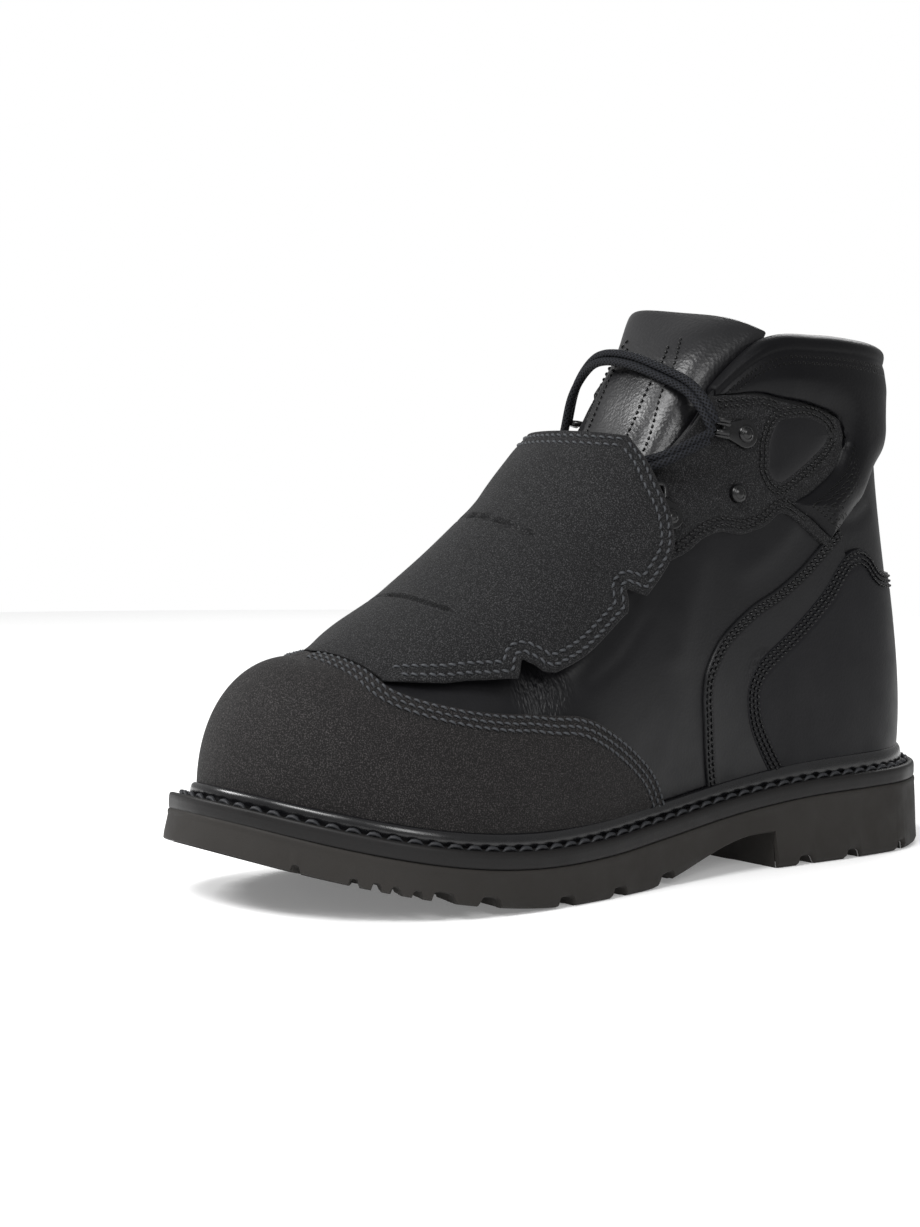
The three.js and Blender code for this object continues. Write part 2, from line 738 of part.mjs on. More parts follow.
function makeEyestay(sign) {
  const stations = stationsBetween(EYESTAY_FOOT[0].station, 24.5).map((s) => s * sign);
  return overlay(stations, seam(EYESTAY_FOOT), seam(EYESTAY_TOP), 5, OVERLAY_THICKNESS);
}

// Padded collar: its section runs up the outside, over the rim and down the lining.
function makeCollar() {
  const half = COLLAR_SEAM[COLLAR_SEAM.length - 1].station;
  const one = stationsBetween(0, half);
  const stations = [...one.slice(1).reverse().map((station) => -station), ...one];
  const section = (station, skin) => {
    const low = seam(COLLAR_SEAM)(Math.abs(station));
    const fade = Math.min(1, (half - Math.abs(station)) / 4 + 0.25);
    const pad = skin ? COLLAR_PAD * fade : 0;
    const lining = skin ? COLLAR_LINING * (0.4 + 0.6 * fade) : 0;
    const points = [];
    const steps = 4;
    for (let j = 0; j <= steps; j += 1) {
      const t = j / steps;
      const swell = 0.35 + 0.65 * Math.sin(Math.PI * Math.min(t * 0.75 + 0.12, 1));
      points.push(side(station, low + (1 - low) * t, OVERLAY_GAP + pad * swell));
    }
    const rim = side(station, 1, -WALL / 2);
    rim.z += GAP + (skin ? 0.8 + 2.6 * fade : 0);
    points.push(rim);
    points.push(side(station, 1, -WALL - OVERLAY_GAP - lining));
    points.push(side(station, 0.93, -WALL - OVERLAY_GAP - lining));
    return points;
  };
  const outer = stations.map((station) => section(station, true));
  const inner = stations.map((station) => section(station, false));
  return between(outer, inner);
}

// Front face of the guard. across runs from -1 on the medial edge to 1 on the lateral edge.
function guardFace(row, across) {
  const angle = Math.abs(across) * 1.44;
  const out = Math.sin(angle) / Math.sin(1.44);
  const down = (1 - Math.cos(angle)) / (1 - Math.cos(1.44));
  return vec(
    (Math.sign(across) * (row.edge_side - row.lean) * out + row.lean) * BALL_WIDTH,
    (row.back + (row.edge_back - row.back) * down) * SOLE_LENGTH,
    (row.high + (row.edge_high - row.high) * down) * COLLAR_HEIGHT,
  );
}

function makeGuard() {
  const steps = 12;
  const face = GUARD.map((row) => {
    const line = [];
    for (let k = 0; k <= steps; k += 1) line.push(guardFace(row, -1 + 2 * k / steps));
    return line;
  });
  const back = face.map((line, i) => line.map((point, k) => {
    const before = face[Math.max(i - 1, 0)];
    const after = face[Math.min(i + 1, face.length - 1)];
    const along2 = after[k].clone().sub(before[k]);
    const across2 = line[Math.min(k + 1, steps)].clone().sub(line[Math.max(k - 1, 0)]);
    const inward = vec(0, 0, 0).crossVectors(along2, across2).normalize();
    const flip = inward.z > 0 ? -1 : 1;
    return point.clone().addScaledVector(inward, flip * GUARD_THICKNESS * GUARD[i].thick);
  }));
  return between(face, back);
}

// Front or back face of the tongue.
function tongueGrid(depth) {
  const steps = 10;
  return TONGUE.map((row, i) => {
    const before = TONGUE[Math.max(i - 1, 0)];
    const after = TONGUE[Math.min(i + 1, TONGUE.length - 1)];
    const run = vec(0, (after.back - before.back) * SOLE_LENGTH, (after.high - before.high) * COLLAR_HEIGHT);
    run.normalize();
    const inward = vec(0, run.z, -run.y);
    const line = [];
    for (let k = 0; k <= steps; k += 1) {
      const across = -1 + 2 * k / steps;
      const out = Math.sin(across * 1.2) / Math.sin(1.2);
      const wrap = Math.abs(across) ** 3;
      const point = vec(
        out * row.half * COLLAR_WIDTH,
        row.back * SOLE_LENGTH,
        row.high * COLLAR_HEIGHT,
      );
      const taper = 1 - 0.45 * wrap;
      point.addScaledVector(inward, row.wrap * wrap + depth * row.thick * taper);
      line.push(point);
    }
    return line;
  });
}

const makeTongue = () => between(tongueGrid(0), tongueGrid(TONGUE_THICKNESS));

// Outsole: side wall with a step, heel block, and lugs cut out of the tread.
function makeOutsole() {
  const drop = WELT_THICKNESS + MIDSOLE_THICKNESS + 2 * GAP;
  const top = (y) => edgeTop(y) - drop;
  const inwards = (grow, share) => (station) => grow - share * toeTrim(station);
  const body = toManifold(slab([
    { grow: inwards(-0.8, 0.3), height: underside },
    { grow: inwards(0.6, 0.4), height: (y) => Math.min(underside(y) + 1.6, top(y) - 5) },
    { grow: inwards(0.2, 0.9), height: (y) => top(y) - 2.6 },
    { grow: inwards(0.2 + STEP_RIDGE, 0.9), height: (y) => top(y) - 2.0 },
    { grow: inwards(0.2 + STEP_RIDGE, 0.9), height: top },
  ]));
  const breast = SOLE_LENGTH / 2 - HEEL_LENGTH;
  const heel = toManifold(slab([
    { grow: 1.4, height: () => 0 },
    { grow: 0.6, height: () => ARCH_HEIGHT + 1 },
  ]));
  const room = (from, to) => {
    const box = new THREE.BoxGeometry(BALL_WIDTH * 2, to - from, HEEL_TOP * 2);
    box.translate(0, (from + to) / 2, 0);
    return toManifold(welded(box));
  };
  let sole = body.add(heel.intersect(room(breast, SOLE_LENGTH)));
  const base = (y) => (y > breast ? 0 : underside(y));
  for (const half of [1, -1]) {
    for (const notch of NOTCHES) {
      const from = edge(notch.station * half, -RIM_LUG_LENGTH - CHANNEL_WIDTH / 2);
      const to = edge(notch.station * half, 3);
      from.z = base(from.y);
      to.z = base(to.y);
      sole = sole.subtract(block(from, to, NOTCH_WIDTH * notch.wide, TOE_SPRING, NOTCH_DEPTH));
    }
  }
  const channel = toManifold(strip([
    { grow: -RIM_LUG_LENGTH, up: (y) => base(y) - 6 },
    { grow: -RIM_LUG_LENGTH - CHANNEL_WIDTH, up: (y) => base(y) - 6 },
    { grow: -RIM_LUG_LENGTH - CHANNEL_WIDTH, up: (y) => base(y) + LUG_DEPTH },
    { grow: -RIM_LUG_LENGTH, up: (y) => base(y) + LUG_DEPTH },
  ]));
  const heelPart = room(breast + 8, SOLE_LENGTH);
  const forePart = room(-SOLE_LENGTH, CHANNEL_END * SOLE_LENGTH);
  sole = sole.subtract(channel.intersect(heelPart)).subtract(channel.intersect(forePart));
  for (const share of CROSS_CHANNELS) {
    const y = SOLE_LENGTH * (0.5 - share);
    const half = (share < 0.35 ? HEEL_WIDTH : BALL_WIDTH) / 2 - RIM_LUG_LENGTH - CHANNEL_WIDTH / 2;
    const low = base(y);
    sole = sole.subtract(block(vec(-half, y, low), vec(half, y, low), CHANNEL_WIDTH, TOE_SPRING, LUG_DEPTH));
  }
  return fromManifold(sole);
}

function makeMidsole() {
  const top = (y) => edgeTop(y) - WELT_THICKNESS - GAP;
  return slab([
    { grow: (station) => -0.9 * toeTrim(station) - 0.3, height: (y) => top(y) - MIDSOLE_THICKNESS },
    { grow: (station) => -0.9 * toeTrim(station), height: (y) => top(y) - MIDSOLE_THICKNESS / 2 },
    { grow: (station) => -toeTrim(station) - 0.4, height: top },
  ]);
}

// Welt with the raised bead that lies against the upper.
function makeWelt() {
  const fromEdge = (inwards, up) => ({
    grow: (station) => -inwards - toeTrim(station),
    up: (y) => edgeTop(y) + up,
  });
  const fromUpper = (outwards, up) => ({
    grow: (station) => outwards - shelf(station),
    up: (y) => edgeTop(y) + up,
  });
  return strip([
    fromEdge(0, -WELT_THICKNESS),
    fromEdge(0, -0.6),
    fromEdge(0.6, 0),
    fromEdge(2.2, 0),
    fromUpper(4.2, 0.2),
    fromUpper(3.4, 2.4),
    fromUpper(2.0, 2.4),
    fromUpper(GAP, -WELT_THICKNESS),
  ]);
}

function makeInsole() {
  const top = (y) => edgeTop(y) - WELT_THICKNESS + INSOLE_THICKNESS;
  const inset = (extra) => (station) => -shelf(station) - WALL - 0.6 - extra;
  return slab([
    { grow: inset(0), height: (y) => top(y) - INSOLE_THICKNESS },
    { grow: inset(0), height: (y) => top(y) - 0.8 },
    { grow: inset(0.8), height: top },
  ]);
}

// Turns a small solid made round the origin, facing +Z, onto the upper's side.
function mounted(geometry, station, rise, grow, spin = 0) {
  const seat = side(station, rise, grow);
  const normal = sideNormal(station, rise);
  const up = side(station, Math.min(rise + 0.02, 1), grow).sub(side(station, rise - 0.02, grow));
  up.addScaledVector(normal, -up.dot(normal)).normalize();
  const across = vec(0, 0, 0).crossVectors(up, normal);
  const turn = new THREE.Matrix4().makeBasis(across, up, normal);
  const placed = geometry.clone();
  placed.rotateZ(spin);
  placed.applyMatrix4(turn);
  placed.translate(seat.x, seat.y, seat.z);
  return placed;
}

function dome(diameter, height) {
  const radius = diameter / 2;
  return new THREE.LatheGeometry([
    new THREE.Vector2(0, 0),
    new THREE.Vector2(radius, 0),
    new THREE.Vector2(radius, height * 0.35),
    new THREE.Vector2(radius * 0.72, height * 0.85),
    new THREE.Vector2(0, height),
  ], 12).rotateX(Math.PI / 2);
}

// Round bar along a list of points.
function bar(points, diameter, steps, sides = 8) {
  const section = new THREE.Shape();
  for (let i = 0; i < sides; i += 1) {
    const angle = 2 * Math.PI * i / sides;
    const x = Math.cos(angle) * diameter / 2;
    const y = Math.sin(angle) * diameter / 2;
    if (i === 0) section.moveTo(x, y);
    else section.lineTo(x, y);
  }
  section.closePath();
  return new THREE.ExtrudeGeometry(section, {
    extrudePath: new THREE.CatmullRomCurve3(points),
    steps,
    bevelEnabled: false,
  });
}

// Base plate with a round end and a narrow neck towards +X.
function plate(size, reach, thickness) {
  const shape = new THREE.Shape();
  const radius = size / 2;
  shape.absarc(0, 0, radius, Math.PI / 3, -Math.PI / 3 + 2 * Math.PI, false);
  shape.lineTo(reach, -radius * 0.42);
  shape.lineTo(reach, radius * 0.42);
  shape.closePath();
  return new THREE.ExtrudeGeometry(shape, { depth: thickness, bevelEnabled: false, curveSegments: 12 });
}

const joined = (geometries) => fromManifold(
  geometries.map((geometry) => toManifold(welded(geometry))).reduce((all, next) => all.add(next)),
);

// Speed hook: plate, rivet head and two bent bars that take the lace.
function makeHook(sign) {
  const low = OVERLAY_GAP + OVERLAY_THICKNESS + GAP;
  const reach = HOOK_PLATE * 0.95;
  const pieces = [plate(HOOK_PLATE, reach, 1.1), dome(RIVET_DIAMETER, 2.4)];
  for (const offset of [-0.14, 0.14]) {
    const across = offset * HOOK_PLATE * 1.5;
    pieces.push(bar([
      vec(reach - 2.5, across, 0.9),
      vec(reach + 1.5, across, 1.2),
      vec(reach + 5.0, across, 2.2),
      vec(reach + 6.2, across, 4.4),
      vec(reach + 4.6, across, 6.4),
      vec(reach + 1.6, across, 6.9),
    ], HOOK_WIRE, 8, 6));
  }
  const body = joined(pieces);
  return mounted(body, 17.6 * sign, 0.835, low, sign > 0 ? Math.PI - 0.15 : 0.15);
}

// Lace ring: plate and rivet head with a bent wire ring at the front.
function makeRing(sign) {
  const low = OVERLAY_GAP + OVERLAY_THICKNESS + GAP;
  const reach = HOOK_PLATE * 0.75;
  const half = RING_WIDTH / 2;
  const ring = bar([
    vec(reach - 1.6, -half * 0.5, 1.3),
    vec(reach + 1.4, -half, 1.6),
    vec(reach + 3.4, -half * 0.9, 1.7),
    vec(reach + 5.0, 0, 1.8),
    vec(reach + 3.4, half * 0.9, 1.7),
    vec(reach + 1.4, half, 1.6),
    vec(reach - 1.6, half * 0.5, 1.3),
  ], RING_WIRE, 12, 6);
  const body = joined([plate(HOOK_PLATE * 0.9, reach, 1.1), dome(RIVET_DIAMETER * 0.9, 2.2), ring]);
  return mounted(body, 23.3 * sign, 0.785, low, sign > 0 ? Math.PI - 0.8 : 0.8);
}

// Points of the two lace strands, lateral half: the middle one is at side 0.
const LACE_OVER = [
  { side: 0.545, back: 0.072, high: 0.848 },
  { side: 0.490, back: 0.072, high: 0.888 },
  { side: 0.385, back: 0.075, high: 0.924 },
  { side: 0.220, back: 0.066, high: 0.950 },
  { side: 0.000, back: 0.064, high: 0.968 },
];
const LACE_UNDER = [
  { side: 0.545, back: 0.069, high: 0.824 },
  { side: 0.470, back: 0.034, high: 0.795 },
  { side: 0.385, back: 0.009, high: 0.768 },
  { side: 0.220, back: -0.013, high: 0.760 },
  { side: 0.000, back: -0.018, high: 0.758 },
];

// Two strands side by side across the tongue, joined into one solid.
function makeLacePair(rows, lower) {
  const half = rows.map((row) => vec(
    row.side * COLLAR_WIDTH, row.back * SOLE_LENGTH, row.high * COLLAR_HEIGHT,
  ));
  const other = half.slice(0, -1).reverse().map((point) => vec(-point.x, point.y, point.z));
  const middle = [...half, ...other];
  return joined([0.47, -0.47].map((offset) => bar(middle.map((point) => vec(
    point.x, point.y + offset * LACE_DIAMETER * lower.y, point.z + offset * LACE_DIAMETER * lower.z,
  )), LACE_DIAMETER, 14)));
}

const makeRivet = (sign) => mounted(
  welded(dome(RIVET_DIAMETER, 2.2)), 18.2 * sign, 0.707, OVERLAY_GAP + OVERLAY_THICKNESS + GAP,
);

const finish = (color, roughness, metalness = 0) => ({ color, roughness, metalness });
const NUBUCK = finish(0x2a2726, 0.85);
const LEATHER = finish(0x262628, 0.5);
const GLOSS = finish(0x232325, 0.35);
const RUBBER = finish(0x34312e, 0.8);
const DARK_RUBBER = finish(0x262526, 0.6);
const LINING = finish(0x1f1f21, 0.9);
const LACE = finish(0x1e1f23, 0.85);
const BLACK_METAL = finish(0x1c1c1e, 0.3, 0.8);

const boot = new THREE.Group();
boot.name = 'metatarsal_guard_boot';

function addNode(name, geometry, look) {
  const mesh = new THREE.Mesh(geometry, new THREE.MeshStandardMaterial(look));
  mesh.name = name;
  boot.add(mesh);
}

addNode('outsole', makeOutsole(), RUBBER);
addNode('midsole', makeMidsole(), DARK_RUBBER);
addNode('welt', makeWelt(), DARK_RUBBER);
addNode('insole', makeInsole(), LINING);
addNode('upper', makeUpper(), LEATHER);
addNode('tongue', makeTongue(), GLOSS);
addNode('toe_cap', makeToeCap(), NUBUCK);
addNode('heel_counter', makeCounter(), LEATHER);
addNode('saddle_lateral', makeSaddle(1), LEATHER);
addNode('saddle_medial', makeSaddle(-1), LEATHER);
addNode('eyestay_lateral', makeEyestay(1), NUBUCK);
addNode('eyestay_medial', makeEyestay(-1), NUBUCK);
addNode('collar', makeCollar(), LEATHER);
addNode('metatarsal_guard', makeGuard(), NUBUCK);
addNode('hook_lateral', makeHook(1), BLACK_METAL);
addNode('hook_medial', makeHook(-1), BLACK_METAL);
addNode('ring_lateral', makeRing(1), BLACK_METAL);
addNode('ring_medial', makeRing(-1), BLACK_METAL);
addNode('rivet_lateral', makeRivet(1), BLACK_METAL);
addNode('rivet_medial', makeRivet(-1), BLACK_METAL);

addNode('lace_over', makeLacePair(LACE_OVER, { y: 0.5, z: 0.87 }), LACE);
addNode('lace_under', makeLacePair(LACE_UNDER, { y: 0.5, z: 0.87 }), LACE);

export default boot;
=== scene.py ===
"""Looks of a black work boot with a metatarsal guard: sole, leather, seams, lace and hooks.

Sizes are in millimetres until a mesh is written in metres. The toe points to -Y, the outer
side of the left foot to +X and the ground is z = 0. A place on the upper is a station, from 0
at the heel to 48 at the toe and negative on the medial side, and a rise, the share of the way
up the side from the welt to the top edge.
"""

from __future__ import annotations

import logging
import math
from dataclasses import dataclass, field
from enum import Enum
from typing import Callable, Optional, Sequence

import bmesh
import bpy
import numpy as np
from mathutils import Matrix, Vector

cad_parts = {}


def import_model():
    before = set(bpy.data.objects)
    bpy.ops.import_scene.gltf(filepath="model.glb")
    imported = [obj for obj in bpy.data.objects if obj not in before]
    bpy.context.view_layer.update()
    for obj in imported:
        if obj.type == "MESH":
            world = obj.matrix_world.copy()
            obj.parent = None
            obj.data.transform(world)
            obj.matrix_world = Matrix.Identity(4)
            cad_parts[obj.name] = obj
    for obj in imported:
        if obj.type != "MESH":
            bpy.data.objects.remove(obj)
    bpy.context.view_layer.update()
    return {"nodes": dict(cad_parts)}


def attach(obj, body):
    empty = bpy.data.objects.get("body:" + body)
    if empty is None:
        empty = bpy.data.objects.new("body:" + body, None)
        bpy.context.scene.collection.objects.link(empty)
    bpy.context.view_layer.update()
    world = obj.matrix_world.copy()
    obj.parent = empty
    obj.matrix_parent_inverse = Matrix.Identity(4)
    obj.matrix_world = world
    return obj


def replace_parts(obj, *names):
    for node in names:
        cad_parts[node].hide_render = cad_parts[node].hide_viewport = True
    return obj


LOG = logging.getLogger("boot")
METRES = 0.001
TOE = 48.0
# How deep the hidden back of a panel lies in the skin.
TUCK = 0.4

Array = np.ndarray
Colour = tuple[float, float, float]
Line = Sequence[tuple[float, float]]
Parts = tuple[Array, Array, Sequence[Array], Array]
Material = bpy.types.Material
Piece = bpy.types.Object
Socket = bpy.types.NodeSocket


class Side(Enum):
    """Half of the boot; the value is the sign of X and of the stations."""

    LATERAL = 1
    MEDIAL = -1

    @property
    def word(self) -> str:
        """Name used in piece names."""
        return self.name.lower()


# Tables and form


@dataclass(frozen=True)
class Table:
    """Rows of named columns; the first column is the key."""

    names: tuple[str, ...]
    rows: tuple[tuple[float, ...], ...]

    def at(self, column: str, where: Array) -> Array:
        """Smooth value of a column: a cubic through the rows, level with its neighbours' chord.

        Args:
            column: name of the column.
            where: keys, of any shape.

        Returns:
            Values of the same shape as where.
        """
        data = np.asarray(self.rows, float)
        keys, values = data[:, 0], data[:, self.names.index(column)]
        slope = np.empty(len(keys))
        slope[1:-1] = (values[2:] - values[:-2]) / (keys[2:] - keys[:-2])
        slope[0] = (values[1] - values[0]) / (keys[1] - keys[0])
        slope[-1] = (values[-1] - values[-2]) / (keys[-1] - keys[-2])
        here = np.clip(where, keys[0], keys[-1])
        i = np.clip(np.searchsorted(keys, here, side="right") - 1, 0, len(keys) - 2)
        span = keys[i + 1] - keys[i]
        t = (here - keys[i]) / span
        return (
            (2 * t**3 - 3 * t**2 + 1) * values[i]
            + (t**3 - 2 * t**2 + t) * span * slope[i]
            + (3 * t**2 - 2 * t**3) * values[i + 1]
            + (t**3 - t**2) * span * slope[i + 1]
        )

    def straight(self, column: str, where: Array) -> Array:
        """Value of a column on straight lines between the rows."""
        data = np.asarray(self.rows, float)
        return np.interp(where, data[:, 0], data[:, self.names.index(column)])


OUTLINE = Table(
    ("along", "heel", "ball", "medial"),
    (
        (0, 0, 0, 0), (0.012, 0.19, 0, -0.19), (0.045, 0.345, 0, -0.335), (0.1, 0.46, 0, -0.44),
        (0.17, 0.5, 0, -0.475), (0.26, 0.51, 0, -0.465), (0.38, 0, 0.365, -0.3), (0.5, 0, 0.41, -0.33),
        (0.61, 0, 0.472, -0.4), (0.71, 0, 0.505, -0.465), (0.79, 0, 0.495, -0.495),
        (0.86, 0, 0.435, -0.49), (0.92, 0, 0.335, -0.445), (0.965, 0, 0.205, -0.36),
        (0.99, 0, 0.065, -0.25), (1, 0, -0.08, -0.08),
    ),
)
EDGE_LINE = Table(
    ("along", "high"),
    (
        (0, 1), (0.15, 0.987), (0.27, 0.953), (0.38, 0.852), (0.5, 0.713), (0.6, 0.631), (0.7, 0.618),
        (0.8, 0.707), (0.9, 0.902), (1, 1.177),
    ),
)
SIDES = Table(
    ("station", "back", "side", "high", "rise", "bulge", "drop", "reach", "swell", "shelf"),
    (
        (0, 0.418, 0, 0.979, 0.32, 7, 0.33, -1.05, 0, 9),
        (3, 0.409, 0.226, 0.981, 0.32, 6.5, 0.33, -0.86, 0, 9),
        (5, 0.378, 0.377, 0.987, 0.32, 6.5, 0.33, -0.53, -1, 9),
        (8, 0.327, 0.468, 0.995, 0.32, 7, 0.33, 0, -2, 9),
        (12, 0.25, 0.5, 1, 0.32, 8, 0.33, 0, 0, 9),
        (16, 0.173, 0.486, 0.989, 0.34, 10, 0.33, 0, 2, 9),
        (19, 0.109, 0.445, 0.915, 0.36, 11, 0.3, 0.2, 4, 9),
        (22, 0.071, 0.411, 0.835, 0.38, 11, 0.28, 0.45, 5, 9),
        (25, 0.01, 0.363, 0.739, 0.4, 9, 0.24, 0.62, 4, 9),
        (27.5, -0.058, 0.288, 0.66, 0.42, 7, 0.18, 0.74, 3, 9),
        (29.3, -0.119, 0.171, 0.58, 0.44, 5, 0.1, 0.68, 2, 9),
        (31, -0.167, 0, 0.535, 0.46, 4, 0, 0.64, 0, 9),
        (36, -0.26, 0, 0.46, 0.52, 3, 0, 0.62, 0, 10),
        (40, -0.372, 0, 0.419, 0.58, 2, 0, 0.6, 0, 11.5),
        (44, -0.372, 0, 0.419, 0.62, 2, 0, 0.58, 0, 13),
        (48, -0.372, 0, 0.419, 0.64, 1.5, 0, 0.56, 0, 13.5),
    ),
)
MIDDLE = Table(
    ("station", "lean"), ((0, 0.0), (25, 0.0), (31, -0.008), (36, -0.034), (40, -0.068))
)
CAP_SEAM = Table(
    ("station", "rise"),
    (
        (22.3, 0.045), (23.4, 0.13), (25.2, 0.22), (27.4, 0.312), (28.8, 0.362), (30.2, 0.383),
        (31.9, 0.402), (34, 0.445), (36.1, 0.515), (37.3, 0.592), (37.9, 0.715), (38.5, 0.85), (39, 1),
    ),
)
COUNTER_EDGE = (
    (0, 0.5), (4, 0.487), (6.6, 0.49), (7.8, 0.525), (8.8, 0.54), (10, 0.53), (10.9, 0.5),
    (12.2, 0.442), (14.6, 0.362), (16.6, 0.305), (17.25, 0.26), (17.3, 0.215), (16.9, 0.15),
    (15.9, 0.075), (15, 0.02),
)
SADDLE_EDGE = (
    (10.6, 0.59), (11.9, 0.553), (13.7, 0.497), (15.5, 0.455), (17.2, 0.43), (19.2, 0.385),
    (20.2, 0.325), (20.35, 0.27), (20.1, 0.2), (19.7, 0.11), (19.2, 0.03),
)
EYESTAY_FOOT = (
    (11.2, 0.53), (12.2, 0.556), (13.6, 0.592), (14.8, 0.62), (15.4, 0.622), (16.1, 0.606), (16.8, 0.6),
    (17.9, 0.606), (19.3, 0.638), (21, 0.655), (22.6, 0.652), (26, 0.69),
)
EYESTAY_TOP = (
    (9.8, 0.8), (10.3, 0.835), (12.5, 0.856), (15.2, 0.876), (17.5, 0.928), (19.2, 0.98), (20.2, 0.99),
    (26, 0.99),
)
# Back edge of the padded collar with its tail, and the front edge down to the tail's tip.
COLLAR_BACK = Table(
    ("station", "rise"),
    ((0.0, 0.780), (3.0, 0.775), (6.4, 0.735), (8.5, 0.655), (9.3, 0.632), (11.3, 0.565)),
)
COLLAR_FRONT = Table(
    ("station", "rise"),
    (
        (9.3, 0.79), (9.8, 0.792), (10.3, 0.835), (12.5, 0.862), (15.2, 0.882), (17.5, 0.93),
        (19.3, 0.985),
    ),
)
TAIL_FRONT = Table(
    ("rise", "station"),
    (
        (0.565, 11.4), (0.605, 12.8), (0.64, 14.3), (0.67, 12.8), (0.715, 11), (0.76, 10.15),
        (0.79, 9.8),
    ),
)
TAIL_BACK = Table(
    ("rise", "station"), ((0.565, 11.2), (0.610, 10.0), (0.632, 9.3), (0.790, 9.3))
)
# The smooth window let into the eyelet panel, a closed line.
WINDOW = (
    (11.1, 0.795), (11.6, 0.818), (12.8, 0.835), (14.4, 0.835), (15.5, 0.828), (16.1, 0.79),
    (16.2, 0.75), (16.2, 0.725), (15.6, 0.692), (14.5, 0.7), (11.9, 0.762), (11.1, 0.795),
)
# Side notches of the sole: station, and share of the full width.
NOTCHES = (
    (6.9, 0.8), (10.6, 1), (13.8, 1), (23.2, 1), (26.6, 1), (30, 1), (34.1, 1), (36.2, 1), (37.3, 0.4),
    (38.2, 0.4), (39, 0.4), (39.9, 0.4), (42.3, 0.4),
)
# How far each row of stitches lies from its seam, in millimetres.
CAP_ROWS = (1.4, 3.7, 6.0)
EYESTAY_ROWS = (2.4, 4.6)
COUNTER_ROWS = (1.7, 3.6, 5.5)
SADDLE_ROWS = (1.6, 3.5)
COLLAR_ROWS = (2.2, 4.2)
WINDOW_ROWS = (1.3, 3.3)
GUARD_ROWS = (2.7, 5.9)
# Cross channels of the tread, as shares of the sole's length from the heel.
CROSS_CHANNELS = (0.13, 0.21, 0.62, 0.69, 0.76, 0.83, 0.90)
GUARD = Table(
    ("row", "back", "lean", "high", "edge_side", "edge_back", "edge_high", "thick"),
    (
        (0, -0.34, -0.055, 0.45, 0.205, -0.317, 0.396, 0.34),
        (1, -0.304, -0.044, 0.475, 0.3, -0.272, 0.391, 0.45),
        (2, -0.256, -0.03, 0.52, 0.368, -0.218, 0.394, 0.72),
        (3, -0.24, -0.026, 0.536, 0.385, -0.202, 0.404, 0.8),
        (4, -0.228, -0.024, 0.549, 0.368, -0.191, 0.426, 0.85),
        (5, -0.215, -0.021, 0.566, 0.408, -0.174, 0.399, 0.9),
        (6, -0.173, -0.01, 0.624, 0.419, -0.122, 0.436, 1),
        (7, -0.131, -0.006, 0.683, 0.41, -0.067, 0.505, 1),
        (8, -0.117, -0.004, 0.704, 0.382, -0.061, 0.541, 1),
        (9, -0.103, -0.003, 0.727, 0.41, -0.036, 0.535, 1),
        (10, -0.087, -0.002, 0.756, 0.42, -0.006, 0.59, 1),
        (11, -0.071, 0, 0.784, 0.396, 0.006, 0.66, 1),
        (12, -0.054, 0, 0.81, 0.336, 0.005, 0.745, 0.85),
        (13, -0.042, 0, 0.832, 0.228, -0.004, 0.822, 0.85),
    ),
)
# The free edge without its two notches, and the share of the guard's width left at each row.
GUARD_EDGE = Table(
    ("row", "edge_side", "edge_back", "edge_high"),
    tuple((row[0], *row[4:7]) for row in GUARD.rows if row[0] not in (3, 4, 8)),
)
GUARD_WIDTH = Table(
    ("row", "share"),
    (
        (0, 0.8), (0.28, 0.84), (0.6, 0.9), (1, 0.972), (1.6, 1), (2.85, 1), (4.15, 0.868),
        (4.35, 0.87), (4.8, 0.92), (5, 0.97), (5.35, 1.012), (7.15, 1.025), (7.85, 0.925),
        (8.05, 0.922), (8.5, 0.955), (9.05, 1.015), (9.8, 1), (10.6, 1.015), (11.3, 1), (11.9, 0.94),
        (12.5, 0.98), (13, 0.99),
    ),
)
TONGUE = Table(
    ("row", "back", "high", "half", "wrap", "thick"),
    (
        (0, -0.154, 0.5205, 0.21, 3, 0.6),
        (1, -0.109, 0.56, 0.255, 5, 0.8),
        (2, -0.054, 0.64, 0.29, 7, 1),
        (3, -0.003, 0.735, 0.32, 9, 1),
        (4, 0.037, 0.832, 0.345, 11.5, 1),
        (5, 0.061, 0.905, 0.365, 12.5, 1.1),
        (6, 0.085, 0.968, 0.372, 12, 1.4),
        (7, 0.112, 1.022, 0.388, 12, 1.8),
        (8, 0.138, 1.06, 0.402, 11, 1.9),
        (9, 0.154, 1.074, 0.395, 10, 1.1),
    ),
)


def smooth_step(t: Array) -> Array:
    """0 below 0, 1 above 1 and 3t^2 - 2t^3 between."""
    t = np.clip(t, 0.0, 1.0)
    return t * t * (3 - 2 * t)


def unit(vectors: Array) -> Array:
    """Vectors divided by their lengths."""
    return vectors / np.maximum(np.linalg.norm(vectors, axis=-1, keepdims=True), 1e-9)


def arc_lengths(points: Array, axis: int = 0) -> Array:
    """Length along a line of points, from 0 at the first one.

    Args:
        points: places with a last axis of two or three.
        axis: the axis that runs along the line.

    Returns:
        Lengths, without the last axis.
    """
    steps = np.linalg.norm(np.diff(points, axis=axis), axis=-1)
    lengths = np.cumsum(steps, axis=axis)
    first = np.zeros_like(np.take(lengths, [0], axis=axis))
    return np.concatenate([first, lengths], axis=axis)


def sample(at: Array, run: Array, values: Array) -> Array:
    """Values, one row per point of a line, at lengths along it, straight between the points."""
    return np.stack([np.interp(at, run, column) for column in values.T], -1)


def paired(a: Array, b: Array) -> list[Array]:
    """Two sets of numbers, each spread over the other's shape."""
    return np.broadcast_arrays(np.asarray(a, float), np.asarray(b, float))


def on_side(corners: Line, sign: int) -> list[tuple[float, float]]:
    """Corners given for the lateral side, with their stations times the sign."""
    return [(station * sign, rise) for station, rise in corners]


def all_round(count: int) -> Array:
    """Stations right round, by the lateral side out and the medial side back."""
    half = np.linspace(0, TOE, count)
    return np.concatenate([half, -half[1:-1][::-1]])


